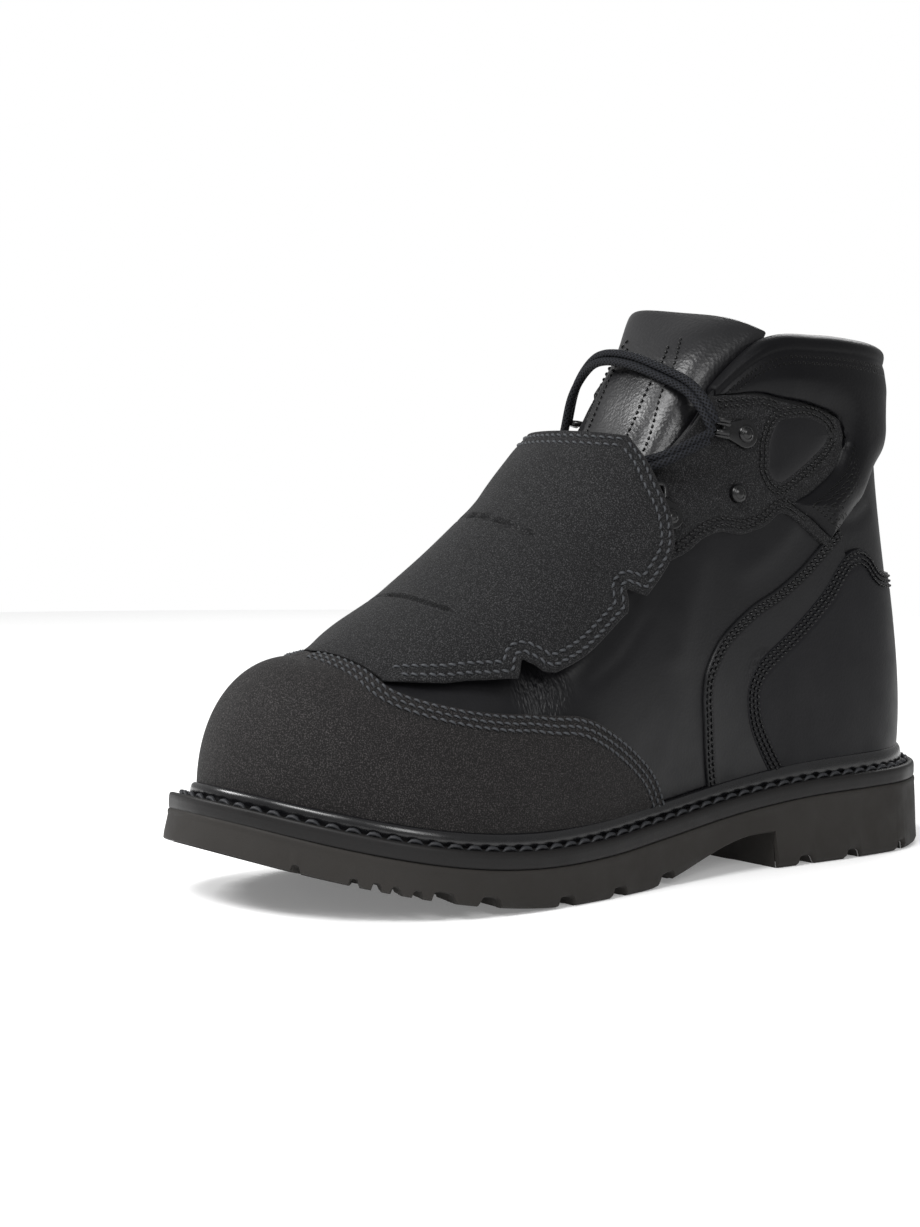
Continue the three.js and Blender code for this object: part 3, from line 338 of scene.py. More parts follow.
@dataclass
class Form:
    """The last and the sole's outline, which every piece is laid on."""

    sole_length: float = 312.0
    ball_width: float = 117.0
    heel_width: float = 82.0
    heel_top: float = 31.7
    collar_height: float = 188.0
    collar_width: float = 73.0
    welt_thickness: float = 2.4
    toe_spring: float = 21.0
    arch_height: float = 13.0
    toe_trim: float = 2.4
    loop: Array = field(init=False)
    arcs: Array = field(init=False)
    toe_arc: float = field(init=False)

    def __post_init__(self) -> None:
        """Works out the sole's outline as a closed line with its arc lengths.

        A cubic runs through the points of OUTLINE, down the lateral side and back up the
        medial side, keyed by the chord length between them.
        """
        rows = np.asarray(OUTLINE.rows)
        y = self.sole_length * (0.5 - rows[:, 0])
        wide = np.where(rows[:, 0] < 0.3, self.heel_width, self.ball_width)
        lateral = np.stack([(rows[:, 1] + rows[:, 2]) * wide, y], 1)
        medial = np.stack([rows[:, 3] * wide, y], 1)[1:-1][::-1]
        ring = np.concatenate([lateral, medial])
        count = len(ring)
        points = ring[np.arange(-2, count + 3) % count]
        run = arc_lengths(points)
        keyed = Table(("run", "x", "y"), tuple(map(tuple, np.column_stack([run, points]))))
        at = np.linspace(run[2], run[count + 2], 1441)
        self.loop = np.stack([keyed.at("x", at), keyed.at("y", at)], 1)
        self.arcs = arc_lengths(self.loop)
        self.toe_arc = float(self.arcs[np.argmin(self.loop[:, 1])])

    def _on_loop(self, arc: Array) -> Array:
        """Point of the outline at an arc length."""
        return sample(np.mod(arc, self.arcs[-1]), self.arcs, self.loop)

    def edge(self, station: Array, grow: Array = 0.0) -> Array:
        """Point of the sole's outline, moved outwards by grow, at z = 0.

        Args:
            station: stations, positive on the lateral side.
            grow: millimetres outwards.

        Returns:
            Points with a last axis of three.
        """
        station = np.asarray(station, float)
        share = station / TOE
        whole = self.arcs[-1]
        arc = np.where(share >= 0, share * self.toe_arc, whole + share * (whole - self.toe_arc))
        point = self._on_loop(arc)
        run = unit(self._on_loop(arc + 2) - self._on_loop(arc - 2))
        grow = np.broadcast_to(np.asarray(grow, float), station.shape)
        x = point[..., 0] - run[..., 1] * grow
        y = point[..., 1] + run[..., 0] * grow
        return np.stack([x, y, np.zeros_like(x)], -1)

    def edge_top(self, y: Array) -> Array:
        """Height of the welt's top at a place along the boot."""
        return self.heel_top * EDGE_LINE.at("high", 0.5 - y / self.sole_length)

    def underside(self, y: Array) -> Array:
        """Height of the tread: a power curve up to the toe and a smooth step up to the arch."""
        along = 0.5 - y / self.sole_length
        toe = np.maximum((along - 0.64) / 0.36, 0)
        return self.toe_spring * toe**1.8 + self.arch_height * smooth_step((0.545 - along) / 0.2)

    def trim(self, station: Array) -> Array:
        """How far the welt stays inside the outsole's edge at the toe."""
        return self.toe_trim * smooth_step((np.abs(station) - 36) / 10)

    @staticmethod
    def shelf(station: Array) -> Array:
        """Width of the welt left showing outside the upper."""
        return SIDES.at("shelf", np.abs(station))

    def bare(self, station: Array, rise: Array) -> Array:
        """Outer face of the upper: a cubic Bezier from the welt to the top edge.

        Args:
            station: stations.
            rise: shares of the way up, broadcast with station.

        Returns:
            Points with a last axis of three.
        """
        station, rise = paired(station, rise)
        a = np.abs(station)
        reached = np.minimum(a, 40)
        half = np.where(a >= 31, 0, np.maximum(SIDES.at("side", a), 0)) * self.collar_width
        top = np.stack(
            [
                np.sign(station) * half + MIDDLE.at("lean", reached) * self.ball_width,
                SIDES.at("back", reached) * self.sole_length,
                SIDES.at("high", reached) * self.collar_height,
            ],
            -1,
        )
        foot = self.edge(station, -self.shelf(station))
        foot[..., 2] = self.edge_top(foot[..., 1]) - self.welt_thickness
        out = self.edge(station, 1.0) - self.edge(station, 0.0)
        high = (top - foot)[..., 2:]
        up = np.concatenate([np.zeros_like(top[..., :2]), high], -1)
        inward = (foot - top) * np.array([1.0, 1.0, 0.0])

        def column(name: str) -> Array:
            """A column of SIDES at the stations."""
            return SIDES.at(name, a)[..., None]

        low = foot + up * column("rise") + out * column("bulge")
        upper = top - up * column("drop") + inward * column("reach") + out * column("swell")
        t = rise[..., None]
        s = 1 - t
        return foot * s**3 + low * (3 * s * s * t) + upper * (3 * s * t * t) + top * t**3

    def _normal(self, station: Array, rise: Array) -> Array:
        """Unit normal from short steps up and along the outer face."""
        station, rise = paired(station, rise)
        ends = np.abs(station) < 0.001
        last = TOE - 0.01
        at = np.where(ends, 0.0, np.where(np.abs(station) > last, last, station))
        level = np.minimum(rise, 0.985)
        low = np.clip(rise - 0.004, 0, 0.99)
        across = self.bare(at + 0.05, level) - self.bare(at - 0.05, level)
        upward = self.bare(at, low + 0.008) - self.bare(at, low)
        return unit(np.cross(upward, across))

    def normal(self, station: Array, rise: Array) -> Array:
        """Unit normal; along the ridge it is the mean of both halves.

        Args:
            station: stations.
            rise: shares of the way up, broadcast with station.

        Returns:
            Directions outwards, with a last axis of three.
        """
        station, rise = paired(station, rise)
        own = self._normal(station, rise)
        seat = np.clip(np.abs(station), 31, 40)
        both = unit(self._normal(seat, 1.0) + self._normal(-seat, 1.0))
        share = np.where(np.abs(station) >= 31, smooth_step((rise - 0.93) / 0.07), 0)[..., None]
        return unit(own * (1 - share) + both * share)

    def side(self, station: Array, rise: Array, grow: Array = 0.0) -> Array:
        """Point on the upper's outer face, moved outwards by grow."""
        point = self.bare(station, rise)
        grow = np.broadcast_to(np.asarray(grow, float), point.shape[:-1])
        return point + self.normal(station, rise) * grow[..., None]

    def line(
        self, corners: Line, step: float = 0.8, count: int = 0
    ) -> Array:
        """Stations and rises along a line of corners, close together and evenly spaced.

        Args:
            corners: (station, rise) of each corner.
            step: distance between the points in millimetres.
            count: number of points, which goes before the step if it is given.

        Returns:
            Rows of station and rise.
        """
        table = np.asarray(corners, float)
        fine = np.linspace(0, len(table) - 1, 60 * len(table))
        keyed = Table(
            ("key", "station", "rise"),
            tuple((float(k), float(s), float(r)) for k, (s, r) in enumerate(table)),
        )
        track = np.stack([keyed.at("station", fine), keyed.at("rise", fine)], 1)
        run = arc_lengths(self.bare(track[:, 0], track[:, 1]))
        at = np.linspace(0, run[-1], count or max(int(run[-1] / step), 2))
        return sample(at, run, track)

    def seam(self, corners: Line, step: float = 1.5) -> Array:
        """Points on the bare upper along a line of corners."""
        track = self.line(corners, step)
        return self.bare(track[:, 0], track[:, 1])


# Mesh helpers


def distance_to_line(points: Array, line: Array) -> Array:
    """Shortest distance from each point to a line of points.

    Args:
        points: places with a last axis of three.
        line: rows of three, close together.

    Returns:
        Distances in millimetres, of the places' shape.
    """
    flat = points.reshape(-1, 3)
    best = np.full(len(flat), 1e9)
    for a, b in zip(line[:-1], line[1:]):
        along = b - a
        t = np.clip(((flat - a) @ along) / max(float(along @ along), 1e-9), 0, 1)
        gap = flat - a - t[:, None] * along
        best = np.minimum(best, np.einsum("ij,ij->i", gap, gap))
    return np.sqrt(best).reshape(points.shape[:-1])


def rounded(gap: Array, radius: float) -> Array:
    """Quarter-round profile: 0 at the border, 1 from one radius inwards."""
    inside = 1 - np.clip(gap / radius, 0, 1)
    return np.sqrt(np.maximum(1 - inside**2, 0))


def pressed(gap: Array, rows: Sequence[float], depth: float, width: float) -> Array:
    """Grooves under stitch rows: the sum of depth * exp(-((gap - row) / width)^2)."""
    return sum(depth * np.exp(-(((gap - row) / width) ** 2)) for row in rows)


def spaced(count: int, ends: int = 5, share: float = 0.02) -> Array:
    """Numbers from 0 to 1 with a few close together at both ends."""
    fine = np.linspace(0, share, ends, endpoint=False)
    middle = np.linspace(share, 1 - share, count)
    return np.concatenate([fine, middle, 1 - fine[::-1]])


def grid_faces(numbers: Array, around: bool = False) -> Array:
    """Quads over a grid of vertex numbers; around joins the last column to the first."""
    if around:
        numbers = np.concatenate([numbers, numbers[:1]])
    a, b = numbers[:-1, :-1], numbers[1:, :-1]
    c, d = numbers[1:, 1:], numbers[:-1, 1:]
    return np.stack([a.ravel(), b.ravel(), c.ravel(), d.ravel()], 1)


def write_mesh(
    name: str,
    points: Array,
    quads: Array,
    material: Material,
    caps: Sequence[Array] = (),
    uv: Optional[Array] = None,
    merge: bool = True,
) -> Piece:
    """Writes a mesh in metres whose faces point outwards.

    Args:
        name: the piece's name.
        points: rows of three, in millimetres.
        quads: rows of four vertex numbers.
        material: the finish.
        caps: vertex numbers of faces with more corners.
        uv: one pair per point, for patterns that follow the surface.
        merge: welds points that coincide, as at poles and seams, and keeps sharp edges.

    Returns:
        The new object, which sits at the origin.
    """
    mesh = bpy.data.meshes.new(name)
    sizes = np.concatenate([np.full(len(quads), 4), [len(c) for c in caps]]).astype(np.int32)
    corners = np.concatenate([quads.ravel(), *caps]).astype(np.int32)
    mesh.vertices.add(len(points))
    mesh.vertices.foreach_set("co", (points * METRES).astype(np.float32).ravel())
    mesh.loops.add(len(corners))
    mesh.loops.foreach_set("vertex_index", corners)
    mesh.polygons.add(len(sizes))
    starts = np.concatenate([[0], np.cumsum(sizes)[:-1]]).astype(np.int32)
    mesh.polygons.foreach_set("loop_start", starts)
    mesh.polygons.foreach_set("loop_total", sizes)
    if uv is not None:
        layer = mesh.uv_layers.new(name="UVMap")
        layer.data.foreach_set("uv", uv[corners].astype(np.float32).ravel())
    mesh.update(calc_edges=True)
    body = bmesh.new()
    body.from_mesh(mesh)
    if merge:
        bmesh.ops.remove_doubles(body, verts=body.verts, dist=2e-6)
    bmesh.ops.recalc_face_normals(body, faces=body.faces)
    if merge and body.calc_volume(signed=True) < 0:
        bmesh.ops.reverse_faces(body, faces=body.faces)
    body.to_mesh(mesh)
    body.free()
    mesh.polygons.foreach_set("use_smooth", np.ones(len(mesh.polygons), bool))
    if merge:
        mesh.set_sharp_from_angle(angle=math.radians(42))
    mesh.materials.append(material)
    piece = bpy.data.objects.new(name, mesh)
    bpy.context.scene.collection.objects.link(piece)
    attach(piece, "root")
    return piece


def shell(
    name: str,
    outer: Array,
    inner: Array,
    material: Material,
    around: bool = False,
    uv: Optional[Array] = None,
) -> Piece:
    """Closed body between an outer and an inner grid with the same number of columns.

    Args:
        name: the piece's name.
        outer: points, (columns, rows, 3).
        inner: points, (columns, rows, 3), which may have fewer rows.
        material: the finish.
        around: the last column joins the first.
        uv: pairs for the outer grid, (columns, rows, 2).

    Returns:
        The new object.
    """
    columns, rows = outer.shape[:2]
    deep = inner.shape[1]
    out = np.arange(columns * rows).reshape(columns, rows)
    low = columns * rows + np.arange(columns * deep).reshape(columns, deep)
    quads = [grid_faces(out, around), grid_faces(low, around)[:, ::-1]]
    for edge in (0, -1):
        a, b = out[:, edge], low[:, edge]
        if around:
            a, b = np.append(a, a[0]), np.append(b, b[0])
        quads.append(np.stack([a[:-1], a[1:], b[1:], b[:-1]], 1))
    caps = [] if around else [np.concatenate([out[k], low[k][::-1]]) for k in (0, -1)]
    points = np.concatenate([outer.reshape(-1, 3), inner.reshape(-1, 3)])
    pairs = None
    if uv is not None:
        rest = np.zeros((columns * deep, 2))
        pairs = np.concatenate([uv.reshape(-1, 2), rest])
    return write_mesh(name, points, np.concatenate(quads), material, caps, pairs)


def frames(line: Array) -> tuple[Array, Array, Array]:
    """Turning-free frames along a line: ahead, side and up at every point.

    Each side vector is the one before it, less its part along the new direction.

    Args:
        line: rows of three.

    Returns:
        Three sets of unit vectors, one row per point.
    """
    ahead = unit(np.gradient(line, axis=0))
    side = np.empty_like(line)
    seed = np.array([0.0, 0.0, 1.0]) if abs(ahead[0][2]) < 0.9 else np.array([1.0, 0.0, 0.0])
    side[0] = unit(np.cross(ahead[0], seed))
    for k in range(1, len(line)):
        side[k] = unit(side[k - 1] - ahead[k] * (side[k - 1] @ ahead[k]))
    return ahead, side, np.cross(ahead, side)


def resample(line: Array, step: float) -> Array:
    """Evenly spaced points on a smooth curve through the given points.

    Args:
        line: rows of three.
        step: distance between the new points.

    Returns:
        The new rows of three.
    """
    corners = np.asarray(line, float)
    keyed = Table(
        ("key", "x", "y", "z"),
        tuple((float(k), *map(float, p)) for k, p in enumerate(corners)),
    )
    fine = np.linspace(0, len(corners) - 1, 40 * len(corners))
    track = np.stack([keyed.at(n, fine) for n in ("x", "y", "z")], 1)
    run = arc_lengths(track)
    at = np.linspace(0, run[-1], max(int(round(run[-1] / step)), 3) + 1)
    return sample(at, run, track)


def tube_parts(
    line: Array, across: float, thick: float, sides: int = 12
) -> Parts:
    """Round or flattened tube along a line, with closed ends.

    Args:
        line: rows of three.
        across: full width of the section.
        thick: full thickness of the section.
        sides: faces round it.

    Returns:
        Points, quads, the two end faces, and pairs of length along and share around.
    """
    _, side, up = frames(line)
    turn = np.linspace(0, 2 * np.pi, sides, endpoint=False)
    ring = side[:, None] * (np.cos(turn)[None, :, None] * across / 2)
    ring = ring + up[:, None] * (np.sin(turn)[None, :, None] * thick / 2)
    points = line[:, None] + ring
    numbers = np.arange(len(line) * sides).reshape(len(line), sides)
    wrapped = np.concatenate([numbers, numbers[:, :1]], 1)
    pairs = np.stack(
        np.broadcast_arrays(arc_lengths(line)[:, None] * 0.01, turn[None] / (2 * np.pi)), -1
    )
    caps = [numbers[0][::-1], numbers[-1]]
    return points.reshape(-1, 3), grid_faces(wrapped), caps, pairs.reshape(-1, 2)


def ring_parts(points: Array) -> Parts:
    """Mesh parts of a stack of closed rings, (rings, sides, 3)."""
    numbers = np.arange(points.size // 3).reshape(points.shape[:2])
    quads = grid_faces(np.concatenate([numbers, numbers[:, :1]], 1))
    return points.reshape(-1, 3), quads, [], np.zeros((numbers.size, 2))


def merge_parts(parts: Sequence[Parts]) -> Parts:
    """Joins several (points, quads, caps, pairs) into one."""
    points, quads, caps, pairs, shift = [], [], [], [], 0
    for own, faces, ends, uv in parts:
        points.append(own)
        quads.append(faces + shift)
        caps.extend(end + shift for end in ends)
        pairs.append(uv)
        shift += len(own)
    return np.concatenate(points), np.concatenate(quads), caps, np.concatenate(pairs)


# Finishes


class Nodes:
    """Small helper for building a material's node tree."""

    def __init__(self, name: str) -> None:
        """Starts a material with an empty tree.

        Args:
            name: the material's name.
        """
        self.material = bpy.data.materials.new(name)
        self.material.use_nodes = True
        self.tree = self.material.node_tree
        self.shader = self.tree.nodes["Principled BSDF"]
        self.coords = self.add("ShaderNodeTexCoord")

    def add(self, kind: str, **values: object) -> bpy.types.Node:
        """Adds a node and sets its properties."""
        node = self.tree.nodes.new(kind)
        for key, value in values.items():
            setattr(node, key, value)
        return node

    def link(self, start: Socket, end: Socket) -> None:
        """Joins two sockets."""
        self.tree.links.new(start, end)

    @staticmethod
    def fix(node: bpy.types.Node, values: dict[str, object]) -> None:
        """Sets constants on a node's inputs."""
        for name, value in values.items():
            node.inputs[name].default_value = value

    def noise(self, scale: float, detail: float = 3.0, roughness: float = 0.55) -> Socket:
        """Noise value; scale is in features per metre."""
        node = self.add("ShaderNodeTexNoise")
        self.fix(node, {"Scale": scale, "Detail": detail, "Roughness": roughness})
        self.link(self.coords.outputs["Object"], node.inputs["Vector"])
        return node.outputs["Fac"]

    def cells(self, scale: float) -> Socket:
        """Distance to the nearest cell of a Voronoi pattern."""
        node = self.add("ShaderNodeTexVoronoi", feature="F1")
        self.fix(node, {"Scale": scale})
        self.link(self.coords.outputs["Object"], node.inputs["Vector"])
        return node.outputs["Distance"]

    def ramp(self, value: Socket, low: float, high: float, start: float, end: float) -> Socket:
        """Maps low..high to start..end and clamps."""
        node = self.add("ShaderNodeMapRange")
        self.link(value, node.inputs["Value"])
        self.fix(node, {"From Min": low, "From Max": high, "To Min": start, "To Max": end})
        return node.outputs["Result"]

    def math(self, operation: str, a: Socket | float, b: Socket | float = 0.0) -> Socket:
        """One arithmetic step on two values."""
        node = self.add("ShaderNodeMath", operation=operation)
        for socket, value in zip(node.inputs, (a, b)):
            if isinstance(value, (int, float)):
                socket.default_value = value
            else:
                self.link(value, socket)
        return node.outputs[0]

    def mix(self, factor: Socket, a: Socket | Sequence[float], b: Sequence[float]) -> Socket:
        """Mixes two colours by a factor."""
        node = self.add("ShaderNodeMix", data_type="RGBA")
        self.link(factor, node.inputs["Factor"])
        for socket, value in zip((node.inputs[6], node.inputs[7]), (a, b)):
            if isinstance(value, Socket):
                self.link(value, socket)
            else:
                socket.default_value = (*value, 1.0)
        return node.outputs[2]

    def tint(self, factor: Socket, colour: Colour, low: float, high: float) -> Socket:
        """A colour from low times itself, where the factor is 0, to high times itself."""
        return self.mix(factor, [c * low for c in colour], [c * high for c in colour])

    def bump(
        self, height: Socket, strength: float, distance: float, under: Optional[Socket] = None
    ) -> Socket:
        """Bump normal, on top of the one under it; distance is in millimetres."""
        node = self.add("ShaderNodeBump")
        self.fix(node, {"Strength": strength, "Distance": distance * METRES})
        self.link(height, node.inputs["Height"])
        if under is not None:
            self.link(under, node.inputs["Normal"])
        return node.outputs["Normal"]

    def surface(self, colour: Socket, rough: Socket, normal: Socket, gloss: float) -> Material:
        """Joins the sockets to the shader.

        Args:
            colour: base colour.
            rough: roughness.
            normal: bump normal.
            gloss: strength of the mirror-like share.

        Returns:
            The finished material.
        """
        for name, socket in (("Base Color", colour), ("Roughness", rough), ("Normal", normal)):
            self.link(socket, self.shader.inputs[name])
        self.fix(self.shader, {"Specular IOR Level": gloss})
        return self.material


def srgb(red: float, green: float, blue: float) -> Colour:
    """Linear colour of an 8-bit screen colour."""
    return tuple(
        (c / 255 / 12.92) if c <= 10.3 else ((c / 255 + 0.055) / 1.055) ** 2.4
        for c in (red, green, blue)
    )


@dataclass(frozen=True)
class Finish:
    """A finish with its name and its colour."""

    name: str
    colour: Colour

    def build(self) -> Material:
        """Makes the material; every finish has its own way."""
        raise NotImplementedError


@dataclass(frozen=True)
class Leather(Finish):
    """Smooth leather: fine pebbled grain, faint clouds of colour and uneven gloss."""

    rough: tuple[float, float] = (0.42, 0.58)
    grain: float = 900.0
    depth: float = 0.06
    gloss: float = 0.3
    dots: bool = False
    wrinkled: bool = False

    def build(self) -> Material:
        """Makes the material."""
        n = Nodes(self.name)
        pebble = n.cells(self.grain)
        fine = n.noise(self.grain * 2.2, 2)
        shade = n.tint(n.noise(28.0, 4), self.colour, 0.78, 1.3)
        rough = n.ramp(n.noise(60.0, 3), 0.3, 0.7, *self.rough)
        height = n.math("ADD", n.math("MULTIPLY", pebble, 0.8), n.math("MULTIPLY", fine, 0.35))
        normal = n.bump(n.noise(140.0, 3), 0.35, 0.12)
        normal = n.bump(height, 0.55, self.depth, normal)
        if self.wrinkled:
            normal = self._wrinkle(n, normal)
        if self.dots:
            shade, normal = self._perforate(n, shade, normal)
        return n.surface(shade, rough, normal, self.gloss)

    @staticmethod
    def _wrinkle(n: Nodes, normal: Socket) -> Socket:
        """Fine upright wrinkles on both sides of the vamp, where it bends under the guard.

        Noise stretched upwards is multiplied by a mask that fades with the distance from the
        bend's middle. The absolute value of the coordinates mirrors it.
        """
        mirrored = n.add("ShaderNodeVectorMath", operation="ABSOLUTE")
        n.link(n.coords.outputs["Object"], mirrored.inputs[0])
        reach = n.add("ShaderNodeVectorMath", operation="DISTANCE")
        n.link(mirrored.outputs[0], reach.inputs[0])
        reach.inputs[1].default_value = (0.045, 0.052, 0.069)
        stretched = n.add("ShaderNodeVectorMath", operation="MULTIPLY")
        n.link(n.coords.outputs["Object"], stretched.inputs[0])
        stretched.inputs[1].default_value = (400.0, 900.0, 380.0)
        noise = n.add("ShaderNodeTexNoise")
        n.link(stretched.outputs[0], noise.inputs["Vector"])
        n.fix(noise, {"Scale": 1.0, "Detail": 1.0})
        near = n.ramp(reach.outputs["Value"], 0.003, 0.012, 1.0, 0.0)
        return n.bump(n.math("MULTIPLY", noise.outputs[0], near), 1.0, 1.2, normal)

    @staticmethod
    def _perforate(
        n: Nodes, shade: Socket, normal: Socket
    ) -> tuple[Socket, Socket]:
        """Rows of small punched dots where the UV map's second number is below one.

        The UV map counts dots along the row and rows across, so a dot lies where both
        fractions are near a half. The dots are coloured near black: painted shade inside
        the punched holes, beside a bump that dips there.
        """
        split = n.add("ShaderNodeSeparateXYZ")
        n.link(n.coords.outputs["UV"], split.inputs[0])
        row = n.math("FLOOR", split.outputs[1])
        shifted = n.math("ADD", split.outputs[0], n.math("MULTIPLY", row, 0.5))
        u = n.math("SUBTRACT", n.math("FRACT", shifted), 0.5)
        v = n.math("SUBTRACT", n.math("FRACT", split.outputs[1]), 0.5)
        reach = n.math("SQRT", n.math("ADD", n.math("MULTIPLY", u, u), n.math("MULTIPLY", v, v)))
        hole = n.ramp(reach, 0.17, 0.30, 1.0, 0.0)
        band = n.math("MULTIPLY", n.math("GREATER_THAN", split.outputs[1], 0.0), hole)
        band = n.math("MULTIPLY", band, n.math("LESS_THAN", split.outputs[1], 5.0))
        # Painted shade: the punched holes are coloured near black.
        dark = n.mix(band, shade, (0.002, 0.002, 0.002))
        return dark, n.bump(n.math("SUBTRACT", 1.0, band), 1.0, 0.5, normal)


@dataclass(frozen=True)
class Nubuck(Finish):
    """Textured nubuck: soft nap, fine speckle of lighter grains and a pebbled bump."""

    speck: Colour
    gloss: float = 0.12

    def build(self) -> Material:
        """Makes the material."""
        n = Nodes(self.name)
        ground = n.tint(n.noise(22.0, 4), self.colour, 0.75, 1.25)
        grains = n.noise(2500.0, 2, 0.6)
        spots = n.ramp(grains, 0.52, 0.70, 0.0, 1.0)
        shade = n.mix(spots, ground, self.speck)
        rough = n.ramp(grains, 0.4, 0.7, 0.85, 0.6)
        normal = n.bump(grains, 0.7, 0.12, n.bump(n.noise(900.0, 2, 0.5), 0.7, 0.22))
        n.fix(n.shader, {"Sheen Weight": 0.04, "Sheen Roughness": 0.5})
        return n.surface(shade, rough, normal, self.gloss)


@dataclass(frozen=True)
class Rubber(Finish):
    """Moulded rubber: a dull film, fine pits and faint random clouds of lighter and darker tone."""

    rough: tuple[float, float] = (0.6, 0.8)
    gloss: float = 0.2
    pits: float = 0.08

    def build(self) -> Material:
        """Makes the material."""
        n = Nodes(self.name)
        shade = n.tint(n.noise(45.0, 5, 0.6), self.colour, 0.72, 1.3)
        rough = n.ramp(n.noise(90.0, 3), 0.3, 0.7, *self.rough)
        normal = n.bump(n.noise(1700.0, 2), 0.5, self.pits, n.bump(n.noise(260.0, 3), 0.4, 0.1))
        return n.surface(shade, rough, normal, self.gloss)


@dataclass(frozen=True)
class Thread(Finish):
    """Waxed sewing thread with a fine twist."""

    rough: float = 0.55

    def build(self) -> Material:
        """Makes the material."""
        n = Nodes(self.name)
        fibre = n.noise(2600.0, 2)
        rough = n.ramp(fibre, 0.3, 0.7, self.rough - 0.1, self.rough + 0.1)
        return n.surface(n.tint(fibre, self.colour, 0.6, 1.45), rough, n.bump(fibre, 0.6, 0.08), 0.3)


@dataclass(frozen=True)
class Braid(Finish):
    """Braided lace: two sets of strands that cross, laid out on the UV map."""

    strands: float = 6.0
    pitch: float = 2.0

    def build(self) -> Material:
        """Makes the material.

        The UV map holds the length in decimetres and the share around. Two slanted
        waves, one each way, take turns on top as in a plain braid. The colour follows
        that height: painted highlight on the strands' tops and painted shade between them.
        """
        n = Nodes(self.name)
        split = n.add("ShaderNodeSeparateXYZ")
        n.link(n.coords.outputs["UV"], split.inputs[0])
        run = n.math("MULTIPLY", split.outputs[0], 100.0 / self.pitch)
        turn = n.math("MULTIPLY", split.outputs[1], self.strands)
        left = n.math("FRACT", n.math("ADD", run, turn))
        right = n.math("FRACT", n.math("SUBTRACT", run, turn))
        arch = [n.math("SINE", n.math("MULTIPLY", value, math.pi)) for value in (left, right)]
        height = n.math("MAXIMUM", arch[0], n.math("MULTIPLY", arch[1], 0.92))
        # Painted highlight and painted shade: the colour runs from near black between the strands to over
        # three times its own on their tops.
        shade = n.tint(n.ramp(height, 0.55, 1.0, 0.0, 1.0), self.colour, 0.1, 3.2)
        rough = n.ramp(n.noise(2500.0, 2), 0.3, 0.7, 0.6, 0.8)
        fibre = n.bump(n.noise(3500.0, 2), 0.4, 0.05)
        return n.surface(shade, rough, n.bump(height, 0.9, 0.5, fibre), 0.15)


@dataclass(frozen=True)
class Metal(Finish):
    """Black lacquered metal, a little scuffed."""

    def build(self) -> Material:
        """Makes the material."""
        n = Nodes(self.name)
        scuff = n.noise(300.0, 4, 0.6)
        shade = n.tint(scuff, self.colour, 0.7, 1.6)
        rough = n.ramp(scuff, 0.3, 0.7, 0.22, 0.38)
        n.fix(n.shader, {"Metallic": 0.05, "Coat Weight": 0.1, "Coat Roughness": 0.2})
        return n.surface(shade, rough, n.bump(n.noise(900.0, 3), 0.2, 0.04), 0.35)


@dataclass(frozen=True)
class Cloth(Finish):
    """Knitted lining cloth with a fine mesh."""

    def build(self) -> Material:
        """Makes the material."""
        n = Nodes(self.name)
        weave = n.cells(1100.0)
        rough = n.ramp(n.noise(80.0), 0.3, 0.7, 0.85, 0.95)
        return n.surface(n.tint(weave, self.colour, 1.4, 0.5), rough, n.bump(weave, 0.8, 0.25), 0.1)


def built(finish: Finish) -> Material:
    """Field that holds the finish's material, made together with its owner."""
    return field(default_factory=finish.build)


@dataclass
class Wardrobe:
    """Every finish of the boot, built once."""

    smooth: Material = built(
        Leather("smooth_leather", srgb(13, 13, 15), (0.34, 0.48), gloss=0.22, wrinkled=True)
    )
    counter: Material = built(Leather("counter_leather", srgb(11, 11, 14), (0.38, 0.5), gloss=0.14))
    glossy: Material = built(
        Leather("grained_gloss_leather", srgb(15, 15, 17), (0.28, 0.40), 800.0, 0.18, 0.42)
    )
    padded: Material = built(
        Leather("perforated_leather", srgb(7, 7, 9), (0.34, 0.48), 800.0, 0.08, 0.14, True)
    )
    nubuck: Material = built(Nubuck("speckled_nubuck", srgb(17, 17, 18), srgb(60, 60, 61)))
    cap_nubuck: Material = built(Nubuck("toe_nubuck", srgb(17, 16, 16), srgb(60, 57, 57), 0.16))
    outsole: Material = built(Rubber("tread_rubber", srgb(37, 35, 33)))
    midsole: Material = built(Rubber("edge_rubber", srgb(18, 17, 17), (0.42, 0.55), 0.22))
    bead: Material = built(Rubber("welt_rubber", srgb(12, 12, 14), (0.2, 0.32), 0.5, 0.02))
    light_thread: Material = built(Thread("grey_thread", srgb(52, 54, 57)))
    welt_thread: Material = built(Thread("welt_thread", srgb(34, 35, 38)))
    dark_thread: Material = built(Thread("black_thread", srgb(7, 7, 8), 0.35))
    lace: Material = built(Braid("braided_lace", srgb(11, 12, 15)))
    metal: Material = built(Metal("black_metal", srgb(7, 7, 8)))
    lining: Material = built(Cloth("lining_cloth", srgb(18, 18, 20)))


@dataclass
class Assembly:
    """A sub-assembly, laid on the form and dressed from the wardrobe."""

    form: Form
    wardrobe: Wardrobe


# Stitches


